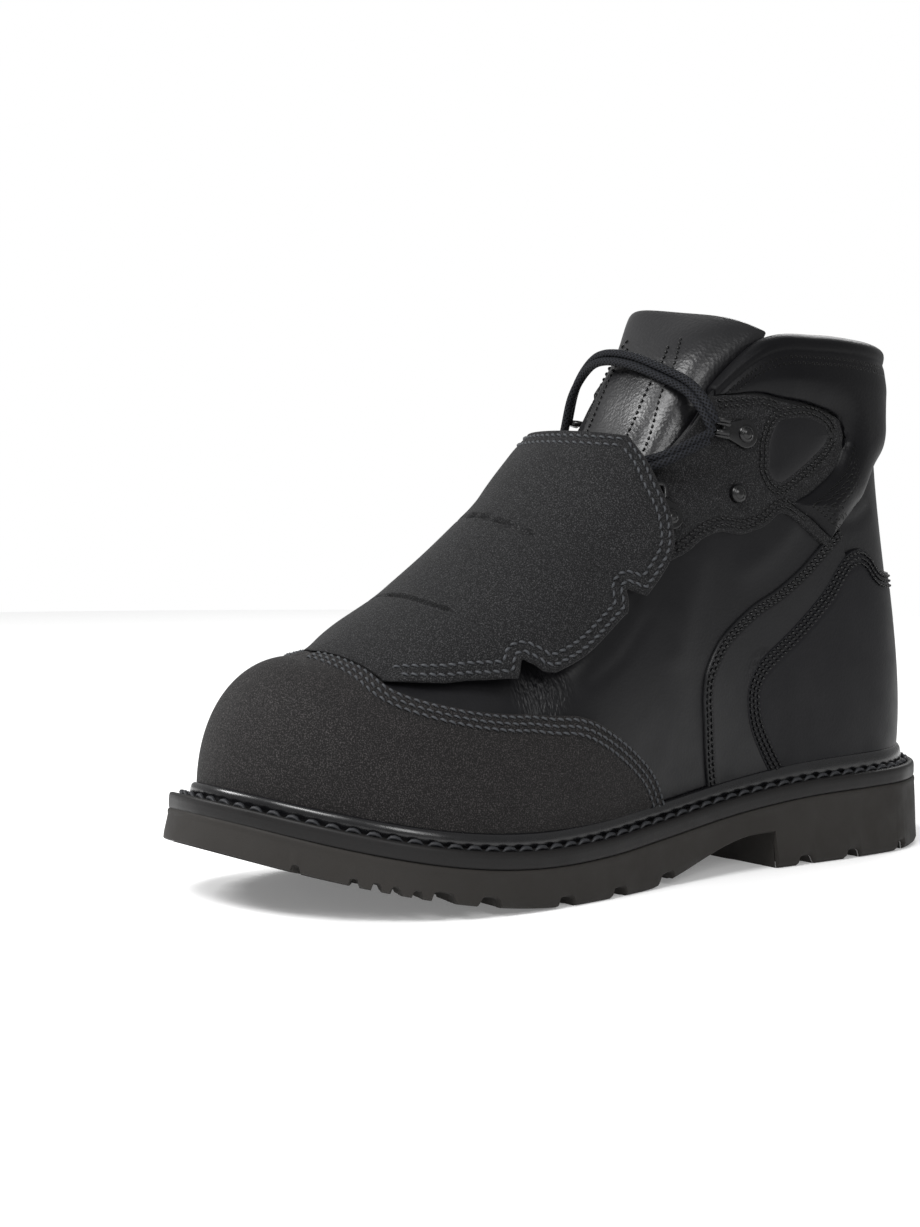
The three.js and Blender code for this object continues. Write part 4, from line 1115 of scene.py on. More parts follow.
@dataclass(frozen=True)
class Stitching:
    """A row of stitches: length, pitch and thickness of the thread, in millimetres."""

    pitch: float = 3.0
    length: float = 2.6
    width: float = 1.05
    height: float = 0.8
    slant: float = 0.25

    def parts(self, line: Array, normal: Array, lift: float = 0.1) -> Parts:
        """Short bent threads along a line, each one an arch that dips in at both ends.

        Args:
            line: closely spaced points of the row.
            normal: outward direction at each point.
            lift: how far the thread's middle stands off the surface.

        Returns:
            Points, quads, end faces and pairs, as tube_parts gives them.
        """
        run = arc_lengths(line)
        count = max(int(run[-1] / self.pitch), 1)
        middle = (np.arange(count) + 0.5) * run[-1] / count
        rings, sides = 5, 6
        turn = np.linspace(0, 2 * np.pi, sides, endpoint=False)
        share = np.linspace(-0.5, 0.5, rings)
        at = middle[:, None] + share[None] * self.length
        point = sample(at, run, line)
        out = unit(sample(at, run, normal))
        ahead = unit(sample(at, run, unit(np.gradient(line, axis=0))))
        across = unit(np.cross(ahead, out))
        arch = np.cos(np.pi * share) ** 0.6
        size = 0.45 + 0.55 * arch
        centre = point + out * (lift + self.height * (0.75 * arch - 0.5))[None, :, None]
        centre = centre + across * (share * self.slant * self.length)[None, :, None]
        ring = across[:, :, None] * (np.cos(turn) * self.width / 2)[None, None, :, None]
        ring = ring + out[:, :, None] * (np.sin(turn) * self.height / 2)[None, None, :, None]
        body = centre[:, :, None] + ring * size[None, :, None, None]
        numbers = np.arange(count * rings * sides).reshape(count, rings, sides)
        wrapped = np.concatenate([numbers, numbers[..., :1]], 2)
        quads = grid_faces(np.moveaxis(wrapped, 0, -1))
        ends = [numbers[k, 0][::-1] for k in range(count)] + [numbers[k, -1] for k in range(count)]
        flat = body.reshape(-1, 3)
        return flat, quads, ends, np.zeros((len(flat), 2))


def stitch_piece(name: str, rows: Sequence[Parts], material: Material) -> Piece:
    """One mesh of all the given rows of stitches."""
    points, quads, caps, pairs = merge_parts(rows)
    return write_mesh(name, points, quads, material, caps, pairs, merge=False)


# Sole


@dataclass
class Sole(Assembly):
    """Outsole with heel and lugs, midsole, storm welt and its stitching."""

    midsole: float = 3.0
    gap: float = 0.35
    heel_length: float = 100.0
    lug_depth: float = 4.0
    rim_lug: float = 21.0
    channel: float = 6.0
    notch_width: float = 7.0
    notch_depth: float = 3.2
    columns: int = 520
    across: int = 120
    around: int = 420

    @property
    def breast(self) -> float:
        """Place along the boot of the heel block's front."""
        return self.form.sole_length / 2 - self.heel_length

    def on_heel(self, y: Array) -> Array:
        """1 on the heel block and 0 ahead of its breast."""
        return smooth_step(y - self.breast + 0.5)

    def level(self, offset: float) -> Callable[[Array], Array]:
        """Height as a function of the place along the boot, from the welt's top."""
        return lambda y: self.form.edge_top(y) + offset

    def tread(self, points: Array, inwards: Array) -> Array:
        """Height of the tread as a field: base line, plus cuts with short sloped walls.

        Args:
            points: plan places.
            inwards: distance from the outline.

        Returns:
            Heights in millimetres.
        """
        y = points[..., 1]
        base = self.form.underside(y) * (1 - self.on_heel(y))
        cut = np.zeros_like(base)
        wall = 1.1
        for place, wide in NOTCHES:
            for sign in (1, -1):
                seat = self.form.edge(np.array([place * sign]), 0.0)[0]
                ahead = self.form.edge(np.array([place * sign + 0.3]), 0.0)[0] - seat
                ahead = ahead / np.linalg.norm(ahead)
                gap = np.abs((points - seat)[..., :2] @ ahead[:2])
                half = self.notch_width * wide / 2
                arch = np.sqrt(np.clip(1 - (gap / (half * 1.1)) ** 4, 0, 1))
                mask = arch * min(1.0, 0.35 + wide)
                near = np.linalg.norm((points - seat)[..., :2], axis=-1) < self.rim_lug + 6
                depth = self.notch_depth * smooth_step((self.rim_lug + 2 - inwards) / wall)
                cut = np.maximum(cut, mask * depth * near)
        behind = smooth_step((y - self.breast - 8) / wall)
        fore = smooth_step((-0.07 * self.form.sole_length - y) / wall)
        rim = smooth_step((inwards - self.rim_lug) / wall + 0.5)
        rim = rim * smooth_step((self.rim_lug + self.channel - inwards) / wall + 0.5)
        cut = np.maximum(cut, rim * np.maximum(behind, fore) * self.lug_depth)
        for share in CROSS_CHANNELS:
            gap = np.abs(y - self.form.sole_length * (0.5 - share))
            mask = smooth_step((self.channel / 2 - gap) / wall + 0.5)
            mask = mask * smooth_step((inwards - self.rim_lug - 1) / wall)
            cut = np.maximum(cut, mask * self.lug_depth)
        return base + cut

    def make_outsole(self) -> Piece:
        """Outsole: the tread field, a side wall with a step, and a flat top."""
        form = self.form
        half = np.linspace(0, TOE, self.columns)
        t = spaced(self.across, 4, 0.01)
        lateral = form.edge(half, -0.8)
        medial = form.edge(-half, -0.8)
        plan = lateral[:, None] * (1 - t)[None, :, None] + medial[:, None] * t[None, :, None]
        rim = form.loop[::4]
        ring = np.column_stack([rim, np.zeros(len(rim))])
        inwards = distance_to_line(plan, ring)
        plan[..., 2] = self.tread(plan, inwards)

        drop = form.welt_thickness + self.midsole + 2 * self.gap
        station = all_round(self.columns)
        foot = form.edge(station, -0.8)
        low = np.concatenate([plan[:, 0, 2], plan[1:-1, -1, 2][::-1]])
        top = form.edge_top(foot[:, 1]) - drop
        heel = self.on_heel(foot[:, 1])
        trim = form.trim(station)
        levels = []
        for share, grow_fore, grow_heel, kept in (
            (0, -0.8, -0.4, 0.3), (0.045, 0.1, 0.9, 0.3), (0.1, 0.55, 1.35, 0.35),
            (0.3, 0.5, 1.05, 0.4), (0.55, 0.4, 0.8, 0.55), (0.78, 0.3, 0.55, 0.7),
            (1, 0.25, 0.25, 0.85),
        ):
            grow = grow_fore * (1 - heel) + grow_heel * heel - kept * trim
            level = form.edge(station, grow)
            level[:, 2] = low + (top - 2.2 - low) * share
            levels.append(level)
        for up, grow in ((-1.9, 0.3), (-1.0, 0.35), (-0.45, 0.3), (-0.1, 0.1), (0.15, -0.25)):
            level = form.edge(station, grow - 0.9 * trim)
            level[:, 2] = top + up
            levels.append(level)
        wall = np.stack(levels, 1)
        count = len(station)
        tread_points = plan.reshape(-1, 3)
        numbers = np.arange(len(tread_points)).reshape(plan.shape[:2])
        wall_numbers = len(tread_points) + np.arange(count * wall.shape[1]).reshape(count, -1)
        quads = [grid_faces(numbers), grid_faces(wall_numbers, True)]
        top_ring = wall_numbers[:, -1]
        n = len(half)
        left = top_ring[:n]
        right = np.concatenate([top_ring[:1], top_ring[n:][::-1], top_ring[n - 1 : n]])
        quads.append(np.stack([left[:-1], left[1:], right[1:], right[:-1]], 1))
        points = np.concatenate([tread_points, wall.reshape(-1, 3)])
        piece = write_mesh("outsole_tread", points, np.concatenate(quads), self.wardrobe.outsole)
        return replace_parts(piece, "outsole")

    def ring_strip(
        self, name: str, section: Sequence[tuple[Array, Callable[[Array], Array]]], station: Array,
        material: Material,
    ) -> Piece:
        """Closed strip round the outline.

        Args:
            name: the piece's name.
            section: corners of its section, as how far outside the outline and how high.
            station: stations right round.
            material: the finish.

        Returns:
            The new object.
        """
        rings = []
        for grow, up in section:
            ring = self.form.edge(station, grow)
            ring[:, 2] = up(ring[:, 1])
            rings.append(ring)
        points = np.stack(rings + rings[:1], 1)
        count, rows = points.shape[:2]
        numbers = np.arange(count * rows).reshape(count, rows)
        return write_mesh(name, points.reshape(-1, 3), grid_faces(numbers, True), material)

    def make_midsole(self) -> Piece:
        """Midsole layer, seen as a thin band between outsole and welt."""
        station = all_round(self.around)
        trim = self.form.trim(station)
        top = -self.form.welt_thickness - self.gap
        thick = self.midsole
        section = [
            (-trim - 30, self.level(top - thick - 0.2)),
            (-0.92 * trim - 0.6, self.level(top - thick - 0.2)),
            (-0.92 * trim - 0.25, self.level(top - thick + 0.1)),
            (-0.92 * trim, self.level(top - thick * 0.8)),
            (-0.95 * trim + 0.1, self.level(top - thick * 0.45)),
            (-0.97 * trim + 0.1, self.level(top + 0.4)),
            (-trim - 30, self.level(top + 0.4)),
        ]
        piece = self.ring_strip("midsole_band", section, station, self.wardrobe.midsole)
        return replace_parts(piece, "midsole")

    def make_welt(self) -> list[Piece]:
        """Welt with a stitch groove, and the glossy bead that lies against the upper."""
        form = self.form
        station = all_round(self.around)
        trim, shelf = form.trim(station), form.shelf(station)
        under = self.level(-form.welt_thickness - 0.3)
        middle = (-trim - 1.4 - (shelf - 4.0)) / 2
        section = [
            (-trim - 0.4, under),
            (-0.97 * trim + 0.1, self.level(-form.welt_thickness - 0.1)),
            (-trim + 0.05, self.level(-1.3)),
            (-trim - 0.15, self.level(-0.6)),
            (-trim - 0.55, self.level(-0.15)),
            (-trim - 1.1, self.level(0.0)),
            (middle + 0.9, self.level(-0.1)),
            (middle + 0.4, self.level(-0.5)),
            (middle - 0.4, self.level(-0.5)),
            (middle - 0.9, self.level(-0.1)),
            (4.4 - shelf, self.level(0.05)),
            (3.0 - shelf, self.level(0.4)),
            (-2.0 - shelf, self.level(0.4)),
            (-2.0 - shelf, under),
        ]
        welt = self.ring_strip("storm_welt", section, station, self.wardrobe.midsole)
        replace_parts(welt, "welt")
        turn = np.linspace(0, 2 * np.pi, 18, endpoint=False)

        def bulge(rise: float) -> Callable[[Array], Array]:
            """Height in the bead's section, which grows taller towards the heel."""
            return lambda y: form.edge_top(y) + 1.9 + (3.2 + 1.3 * smooth_step((y - 10) / 100)) * rise

        bead = [(2.1 + 1.9 * math.cos(a) - shelf, bulge(math.sin(a))) for a in turn]
        raised = self.ring_strip("welt_bead", bead, station, self.wardrobe.bead)
        line = form.edge(station, middle)
        line[:, 2] = form.edge_top(line[:, 1]) - 0.15
        line = np.append(line, line[:1], 0)
        upward = np.broadcast_to(np.array([0.0, 0.0, 1.0]), line.shape)
        row = Stitching(6.6, 5.7, 1.9, 1.7, 0.06).parts(line, upward, 0.5)
        sewn = stitch_piece("welt_stitches", [row], self.wardrobe.welt_thread)
        return [welt, raised, sewn]


# Upper


@dataclass
class Upper(Assembly):
    """Vamp and quarters as one skin, with the panels sewn over them."""

    wall: float = 3.0
    panel: float = 1.1
    stay: float = 1.25
    cap: float = 1.7

    def creases(self, points: Array) -> Array:
        """Soft folds of worn-in leather, ridges or troughs along short lines.

        The offset is depth * exp(-(distance / width)^2), summed over the lines.

        Args:
            points: places on the bare upper.

        Returns:
            Millimetres outwards at each place.
        """
        lines = [
            (((25.3, 0.60), (27.0, 0.53), (29.3, 0.50)), 2.2, -0.45),
            (((24.4, 0.53), (26.0, 0.455), (27.6, 0.42)), 2.4, -0.35),
            (((20.9, 0.60), (21.9, 0.50), (22.4, 0.40)), 6.0, 0.5),
            (((14.0, 0.60), (15.6, 0.55), (17.4, 0.52)), 5.0, 0.6),
            (((11.6, 0.60), (9.2, 0.60), (7.4, 0.63)), 2.5, -0.4),
        ]
        total = np.zeros(points.shape[:-1])
        for sign in (1, -1):
            for corners, width, depth in lines:
                line = self.form.seam(on_side(corners, sign), 2.5)
                total += depth * np.exp(-((distance_to_line(points, line) / width) ** 2))
        return total

    def make_skin(self) -> list[Piece]:
        """The leather skin round the boot, and the cloth lining inside it."""
        form = self.form
        station = all_round(205)[:, None]
        rise = np.linspace(0, 1, 112)[None]
        bare = form.bare(station, rise)
        outer = bare + form.normal(station, rise) * self.creases(bare)[..., None]
        inner = form.side(station, np.linspace(0, 1, 14)[None], -1.8)
        skin = shell("vamp_and_quarters", outer, inner, self.wardrobe.smooth, around=True)
        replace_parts(skin, "upper")
        level = np.linspace(0, 1, 24)[None]
        faces = [form.side(station[::3], level, -depth) for depth in (2.0, self.wall)]
        lining = shell("lining", *faces, self.wardrobe.lining, around=True)
        return [skin, lining]

    def sheet(
        self,
        name: str,
        edges: tuple[Line, Line],
        thick: float,
        material: Material,
        size: tuple[int, int] = (190, 56),
        grooves: Sequence[float] = (),
        extra: Optional[Callable[[Array], Array]] = None,
    ) -> Piece:
        """A panel over the skin between two edges, with a thin rounded border.

        Both edges are laid out evenly along their length and joined by straight columns in
        station and rise. Stitch rows press grooves into the leather.

        Args:
            name: the piece's name.
            edges: corners, as (station, rise), of the two long edges.
            thick: thickness of the leather.
            material: the finish.
            size: columns and rows.
            grooves: distances of the stitch rows from the first edge.
            extra: further height for each place on the skin.

        Returns:
            The new object.
        """
        form = self.form
        low, high = (form.line(corners, count=size[0]) for corners in edges)
        t = spaced(size[1], 5, 0.03)
        s = low[:, :1] + (high - low)[:, :1] * t[None]
        r = low[:, 1:] + (high - low)[:, 1:] * t[None]
        bare = form.bare(s, r)
        border = np.concatenate([bare[:, 0], bare[-1, 1:], bare[::-1, -1][1:], bare[0, ::-1][1:]])
        gap = distance_to_line(bare, border[::2])
        height = thick * rounded(gap, 0.7) + self.creases(bare) * 0.8
        inset = distance_to_line(bare, bare[:, 0])
        height -= pressed(inset, grooves, 0.28, 0.55)
        if extra is not None:
            height += extra(bare)
        outer = bare + form.normal(s, r) * height[..., None]
        pick = np.linspace(0, len(t) - 1, 10).astype(int)
        return shell(name, outer, form.side(s[:, pick], r[:, pick], -TUCK), material)

    def make_toe_cap(self) -> Piece:
        """Toe cap from seam to seam over the toe."""
        peak = 39.0
        one = np.concatenate(
            [np.linspace(22.4, 37, 86, endpoint=False), np.linspace(37, peak, 50, endpoint=False),
             np.linspace(peak, TOE, 60)]
        )
        station = np.concatenate([one, -one[:-1][::-1]])
        a = np.abs(station)
        high = np.where(a >= peak, 1.0, CAP_SEAM.at("rise", a))
        low = np.minimum(0.03 + 0.02 * smooth_step((a - 34) / 10), high - 0.01)
        form = self.form
        t = spaced(84, 8, 0.03)
        s = station[:, None]
        r = low[:, None] + (high - low)[:, None] * t[None]
        bare = form.bare(s, r)
        seams = [form.seam(on_side(CAP_SEAM.rows, sign)) for sign in (1, -1)]
        gap = np.minimum(*(distance_to_line(bare, seam) for seam in seams))
        height = self.cap * rounded(gap, 1.0) - pressed(gap, CAP_ROWS, 0.2, 0.8)
        outer = bare + form.normal(s, r) * height[..., None]
        inner = form.side(s, low[:, None] + (high - low)[:, None] * np.linspace(0, 1, 12)[None], -TUCK)
        piece = shell("toe_cap_cover", outer, inner, self.wardrobe.cap_nubuck)
        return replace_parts(piece, "toe_cap")

    def make_counter(self) -> Piece:
        """Heel counter, smooth and left bare."""
        top = [*on_side(COUNTER_EDGE[:0:-1], -1), *COUNTER_EDGE]
        foot = [(s, 0.0) for s in (-14.6, -10.0, -5.0, 0.0, 5.0, 10.0, 14.6)]
        piece = self.sheet(
            "heel_counter_cover", (top, foot), self.panel + 0.3, self.wardrobe.counter, (260, 60),
            COUNTER_ROWS,
        )
        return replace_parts(piece, "heel_counter")

    def make_saddle(self, side: Side) -> Piece:
        """Band that runs from the collar's tip down to the welt in front of the counter."""
        inner = ((10.2, 0.535), *((s - 0.9, r) for s, r in COUNTER_EDGE[6:]))
        edges = tuple(on_side(line, side.value) for line in (SADDLE_EDGE, inner))
        piece = self.sheet(
            f"saddle_band_{side.word}", edges, self.panel, self.wardrobe.smooth, (220, 44), SADDLE_ROWS
        )
        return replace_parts(piece, f"saddle_{side.word}")

    def make_eyestay(self, side: Side) -> Piece:
        """Nubuck eyelet panel, raised in a band with two stitch rows round the window."""
        ring = self.form.seam(on_side(WINDOW, side.value), 0.8)

        def band(points: Array) -> Array:
            """Raised band round the window, with its grooves."""
            gap = distance_to_line(points, ring)
            return 0.45 * smooth_step((4.7 - gap) / 0.8) - pressed(gap, WINDOW_ROWS, 0.28, 0.55)

        edges = tuple(on_side(line, side.value) for line in (EYESTAY_FOOT, EYESTAY_TOP))
        piece = self.sheet(
            f"eyestay_panel_{side.word}", edges, self.stay, self.wardrobe.nubuck, (220, 80),
            EYESTAY_ROWS, band,
        )
        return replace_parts(piece, f"eyestay_{side.word}")

    def make_window(self, side: Side) -> Piece:
        """Smooth leather window, a domed panel inside the closed line WINDOW."""
        edges = tuple(on_side(line, side.value) for line in (WINDOW[:7], WINDOW[:5:-1]))
        ring = self.form.seam(on_side(WINDOW, side.value))

        def dome(points: Array) -> Array:
            """Padding that rises from the window's line."""
            return 1.2 * rounded(distance_to_line(points, ring), 7.0)

        piece = self.sheet(
            f"side_window_{side.word}", edges, self.stay - 0.1, self.wardrobe.smooth, (110, 70), (), dome
        )
        return piece


# Collar


@dataclass
class Collar(Assembly):
    """Padded collar band with its pointed tail, rolled over the rim to the lining."""

    pad: float = 4.6
    fold: float = 3.4
    lining: float = 2.5
    split: float = 9.3
    throat: float = 19.3
    soft: float = 11.0
    pitch: float = 2.2

    def border(self, side: Side) -> Array:
        """The seam round the padded band on one side, as points on the skin."""
        tail = [(s, r) for r, s in TAIL_FRONT.rows]
        corners = (*COLLAR_BACK.rows, *tail, *COLLAR_FRONT.rows[2:])
        return self.form.seam(on_side(corners, side.value), 1.2)

    def thinned(self, station: Array, length: float, least: float) -> Array:
        """Share that falls towards the throat, over a length in stations, down to the least."""
        return np.clip((self.throat - np.abs(station)) / length + least, least, 1.0)

    def lift(self, bare: Array, station: Array, border: Array) -> tuple[Array, Array]:
        """How far the padding stands off the skin.

        It rises from the seam as a quarter round 11 mm wide and thins towards the throat.

        Args:
            bare: places on the bare upper.
            station: their stations.
            border: points along the seam.

        Returns:
            The lift and the distance to the seam.
        """
        gap = distance_to_line(bare, border)
        return 0.6 + self.pad * self.thinned(station, 7, 0.3) * rounded(gap, self.soft), gap

    def make_band(self, name: str, station: Array, low: Array, borders: Sequence[Array]) -> Piece:
        """One stretch of the band, from its lower seam over the rim to the lining.

        Above the rim the section is half an ellipse from the padding to the lining.

        Args:
            name: the piece's name.
            station: stations of its columns.
            low: rise of the lower seam at each of them.
            borders: points along the seams the padding rises from.

        Returns:
            The new object.
        """
        form = self.form
        t = np.linspace(0, 1, 60)
        s = np.broadcast_to(station[:, None], (len(station), len(t)))
        r = low[:, None] + (1 - low)[:, None] * t[None]
        bare = form.bare(s, r)
        normal = form.normal(s, r)
        lift, gap = self.lift(bare, s, np.concatenate(borders))
        run = arc_lengths(bare, 1)
        below = run[:, -1:] - run
        rim_lift = 0.6 + self.pad * 0.55 * self.thinned(station, 7, 0.3)
        blend = smooth_step(below / 14)
        lift = rim_lift[:, None] * (1 - blend) + lift * blend
        lift = np.minimum(lift, 0.6 + self.pad * rounded(gap, self.soft))
        pipe = 0.9 * np.exp(-(((below - 3.0) / 1.3) ** 2))
        outer = bare + normal * (lift - pipe * 0.5)[..., None]
        turn = np.linspace(0, np.pi, 14)[1:]
        rim = bare[:, -1]
        out = unit(normal[:, -1] * np.array([1, 1, 0]))
        inside = -(self.form.welt_thickness + self.lining + 0.9)
        start = ((outer[:, -1] - rim) * out).sum(1)
        centre, reach = (start + inside) / 2, (start - inside) / 2
        across = centre[:, None] + reach[:, None] * np.cos(turn)[None]
        over = rim[:, None] + out[:, None] * across[..., None]
        over[..., 2] += (self.fold * self.thinned(station, 4, 0.25))[:, None] * np.sin(turn)[None]
        deep = form.side(s[:, :7], np.linspace(1, 0.90, 8)[None, 1:], inside)
        grid = np.concatenate([outer, over, deep], 1)
        under = form.side(s[:, :8], np.linspace(1, 0.9, 8)[None], -2.6)
        inner = np.concatenate([form.side(s[:, ::8], r[:, ::8], -TUCK), under], 1)
        along = arc_lengths(rim)[:, None] / self.pitch
        rows = np.minimum((below - 4.0) / self.pitch, 2.0)
        pairs = np.stack([np.broadcast_to(along, rows.shape), rows], -1)
        rest = np.full((len(station), grid.shape[1] - len(t), 2), -9.0)
        return shell(name, grid, inner, self.wardrobe.padded, uv=np.concatenate([pairs, rest], 1))

    def make(self) -> list[Piece]:
        """Back band, two front bands and two tails."""
        borders = {side: self.border(side) for side in Side}
        half = np.linspace(0, self.split, 60)
        station = np.concatenate([-half[1:][::-1], half])
        back = self.make_band(
            "collar_back", station, COLLAR_BACK.at("rise", np.abs(station)), list(borders.values())
        )
        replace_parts(back, "collar")
        pieces = [back]
        for side in Side:
            front = np.linspace(self.split, self.throat, 70)
            pieces.append(
                self.make_band(
                    f"collar_front_{side.word}", front * side.value,
                    COLLAR_FRONT.at("rise", front), [borders[side]],
                )
            )
            pieces.append(self.make_tail(side, borders[side]))
        return pieces

    def make_tail(self, side: Side, border: Array) -> Piece:
        """The pointed tail between the window and the back seam."""
        form = self.form
        rise = np.linspace(0.567, 0.79, 70)
        t = spaced(40)
        back, front = TAIL_BACK.straight("station", rise), TAIL_FRONT.at("station", rise)
        s = (back[:, None] + (front - back)[:, None] * t[None]) * side.value
        r = np.broadcast_to(rise[:, None], s.shape)
        bare = form.bare(s, r)
        lift = self.lift(bare, s, border)[0]
        outer = bare + form.normal(s, r) * lift[..., None]
        inner = form.side(s[:, ::6], r[:, ::6], -TUCK)
        inset = distance_to_line(bare, bare[:, -1])
        rows = np.minimum((inset - 2.5) / self.pitch, 4.0)
        pairs = np.stack([arc_lengths(bare, 0) / self.pitch, rows], -1)
        return shell(f"collar_tail_{side.word}", outer, inner, self.wardrobe.padded, uv=pairs)


# Guard, tongue


@dataclass
class Guard(Assembly):
    """Stiff metatarsal guard over the lacing, sewn down at the toe cap."""

    thickness: float = 5.0
    cap: float = 1.9
    reach: float = 0.82

    def face(self, row: Array, across: Array) -> Array:
        """Front face of the guard: an arch whose height and width follow the table.

        The first rows run over into the toe cap's surface along the cap's seam.

        Args:
            row: row numbers, 0 at the toe and 13 at the free top.
            across: from -1 at the medial edge to 1 at the lateral edge.

        Returns:
            Points with a last axis of three.
        """
        row, across = paired(row, across)
        sewn = np.clip(across, -self.reach, self.reach)
        share = (1 - smooth_step(row / 1.6))[..., None]
        start = self.arch(np.zeros_like(row), sewn)
        return self.arch(row, across) + (self.cap_line(sewn) - start) * share

    def arch(self, row: Array, across: Array) -> Array:
        """The arch of one row: sine across and cosine down from the middle to the edge.

        Args:
            row: row numbers.
            across: from -1 at the medial edge to 1 at the lateral edge.

        Returns:
            Points with a last axis of three.
        """
        angle = np.abs(across) * 1.44
        out = np.sin(angle) / math.sin(1.44)
        down = (1 - np.cos(angle)) / (1 - math.cos(1.44))
        middle = {name: GUARD.at(name, row) for name in ("back", "lean", "high")}
        edge = {name: GUARD_EDGE.at(name, row) for name in ("edge_side", "edge_back", "edge_high")}
        form = self.form
        return np.stack(
            [
                (np.sign(across) * (edge["edge_side"] - middle["lean"]) * out + middle["lean"])
                * form.ball_width,
                (middle["back"] + (edge["edge_back"] - middle["back"]) * down) * form.sole_length,
                (middle["high"] + (edge["edge_high"] - middle["high"]) * down) * form.collar_height,
            ],
            -1,
        )

    def cap_line(self, across: Array) -> Array:
        """Point on the toe cap's seam, as far along it as across tells."""
        corners = ((39.0, 1.0), (38.5, 0.85), (37.9, 0.715), (37.45, 0.62))
        track = self.form.line(corners, count=60)
        share = np.linspace(0, self.reach, 60)
        station = np.interp(np.abs(across), share, track[:, 0])
        rise = np.interp(np.abs(across), share, track[:, 1])
        return self.form.side(station * np.where(across < 0, -1, 1), rise, self.cap)

    def make(self) -> list[Piece]:
        """The guard's body and its two rows of stitches along the free edges."""
        row = np.unique(
            np.concatenate(
                [np.linspace(0, 13, 160), np.linspace(2.8, 5.4, 60), np.linspace(7.1, 9.2, 48)]
            )
        )
        across = np.sin(np.linspace(-np.pi / 2, np.pi / 2, 156)) * 0.35 + np.linspace(-1, 1, 156) * 0.65
        share = across[None] * GUARD_WIDTH.straight("share", row)[:, None]
        face = self.face(row[:, None], share)
        ahead = np.gradient(face, axis=0)
        side = np.gradient(face, axis=1)
        normal = unit(np.cross(ahead, side))
        normal = normal * np.where(normal[..., 2:] < 0, -1, 1)
        start = int(np.searchsorted(row, 0.2))
        flank = [face[start:, k] for k in (0, -1)]
        gap_side = np.minimum(distance_to_line(face, flank[0]), distance_to_line(face, flank[1]))
        gap_top = distance_to_line(face, face[-1])
        gap = np.minimum(gap_side, gap_top)
        front = face - normal * (0.9 * (1 - rounded(gap, 1.1)))[..., None]
        front = self.score(front, face, normal)
        front -= normal * pressed(gap, GUARD_ROWS, 0.22, 0.7)[..., None]
        deep = self.thickness * GUARD.at("thick", row)[:, None] * np.clip(0.45 + 0.11 * gap, 0, 1)
        back = face - normal * deep[..., None]
        body = shell("guard_plate", front, back[:, ::4], self.wardrobe.nubuck)
        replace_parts(body, "metatarsal_guard")
        rows = []
        for inset in GUARD_ROWS:
            for line, out in self.contours(face, normal, (gap_side, gap_top), start, inset):
                rows.append(Stitching().parts(line, out, 0.0))
        sewn = stitch_piece("guard_stitches", rows, self.wardrobe.light_thread)
        return [body, sewn]

    def score(self, front: Array, face: Array, normal: Array) -> Array:
        """Presses the two cross lines into the front: a short deep bar that thins to each notch.

        Args:
            front: the front grid, with its rounded border.
            face: the same grid before its border was rounded.
            normal: its normals.

        Returns:
            The front grid with the lines pressed in.
        """
        for rows in (
            ((-0.6, 3), (-0.14, 2.62), (0, 2.45), (0.22, 2.38), (0.42, 2.73), (0.58, 3.2), (0.77, 4.2)),
            ((-0.6, 7.2), (-0.15, 6.85), (0.1, 6.7), (0.3, 6.66), (0.54, 6.8), (0.8, 7.35), (0.88, 7.7)),
        ):
            keyed = Table(("across", "row"), rows)
            track = np.linspace(-0.6, rows[-1][0], 80)
            line = self.face(keyed.at("row", track), track)
            bar = (track > -0.14) & (track < 0.36)
            near = distance_to_line(face, line)
            front = front - normal * (0.55 * np.exp(-((near / 0.65) ** 2)))[..., None]
            near = distance_to_line(face, line[bar])
            front = front - normal * (1.3 * (1 - smooth_step((near - 0.7) / 0.6)))[..., None]
        return front

    @staticmethod
    def contours(
        face: Array, normal: Array, gaps: tuple[Array, Array], start: int, inset: float
    ) -> list[tuple[Array, Array]]:
        """Lines at a set distance inside the two flanks and the top.

        On every row the line lies where the distance to the flank first passes the inset,
        and on every column where the distance to the top does.

        Args:
            face: the guard's front grid.
            normal: its normals.
            gaps: distance to the flanks and to the top at every place.
            start: first row that is free of the toe cap.
            inset: distance in millimetres.

        Returns:
            Points and normals of three lines.
        """
        gap_side, gap_top = gaps
        half = face.shape[1] // 2

        def crossing(level: Array, points: Array, directions: Array) -> tuple[Array, Array]:
            """Point and normal where the level first passes the inset."""
            k = max(int(np.argmax(level > inset)), 1)
            t = (inset - level[k - 1]) / max(level[k] - level[k - 1], 1e-6)
            return (
                points[k - 1] + (points[k] - points[k - 1]) * t,
                unit(directions[k - 1] + (directions[k] - directions[k - 1]) * t),
            )

        lines = []
        for turned in (slice(0, half), slice(None, half, -1)):
            found = [
                crossing(gap_side[i, turned], face[i, turned], normal[i, turned])
                for i in range(start + 2, len(face))
                if gap_top[i, turned][np.argmax(gap_side[i, turned] > inset)] > inset
                and gap_side[i, turned].max() > inset
            ]
            lines.append(found)
        found = [
            crossing(gap_top[::-1, k], face[::-1, k], normal[::-1, k])
            for k in range(face.shape[1])
            if gap_side[::-1, k][np.argmax(gap_top[::-1, k] > inset)] > inset
        ]
        lines.append(found)
        result = []
        for found in lines:
            points, out = (np.array(values) for values in zip(*found))
            run = arc_lengths(points)
            at = np.arange(0, run[-1], 0.6)
            result.append((sample(at, run, points), sample(at, run, out)))
        return result


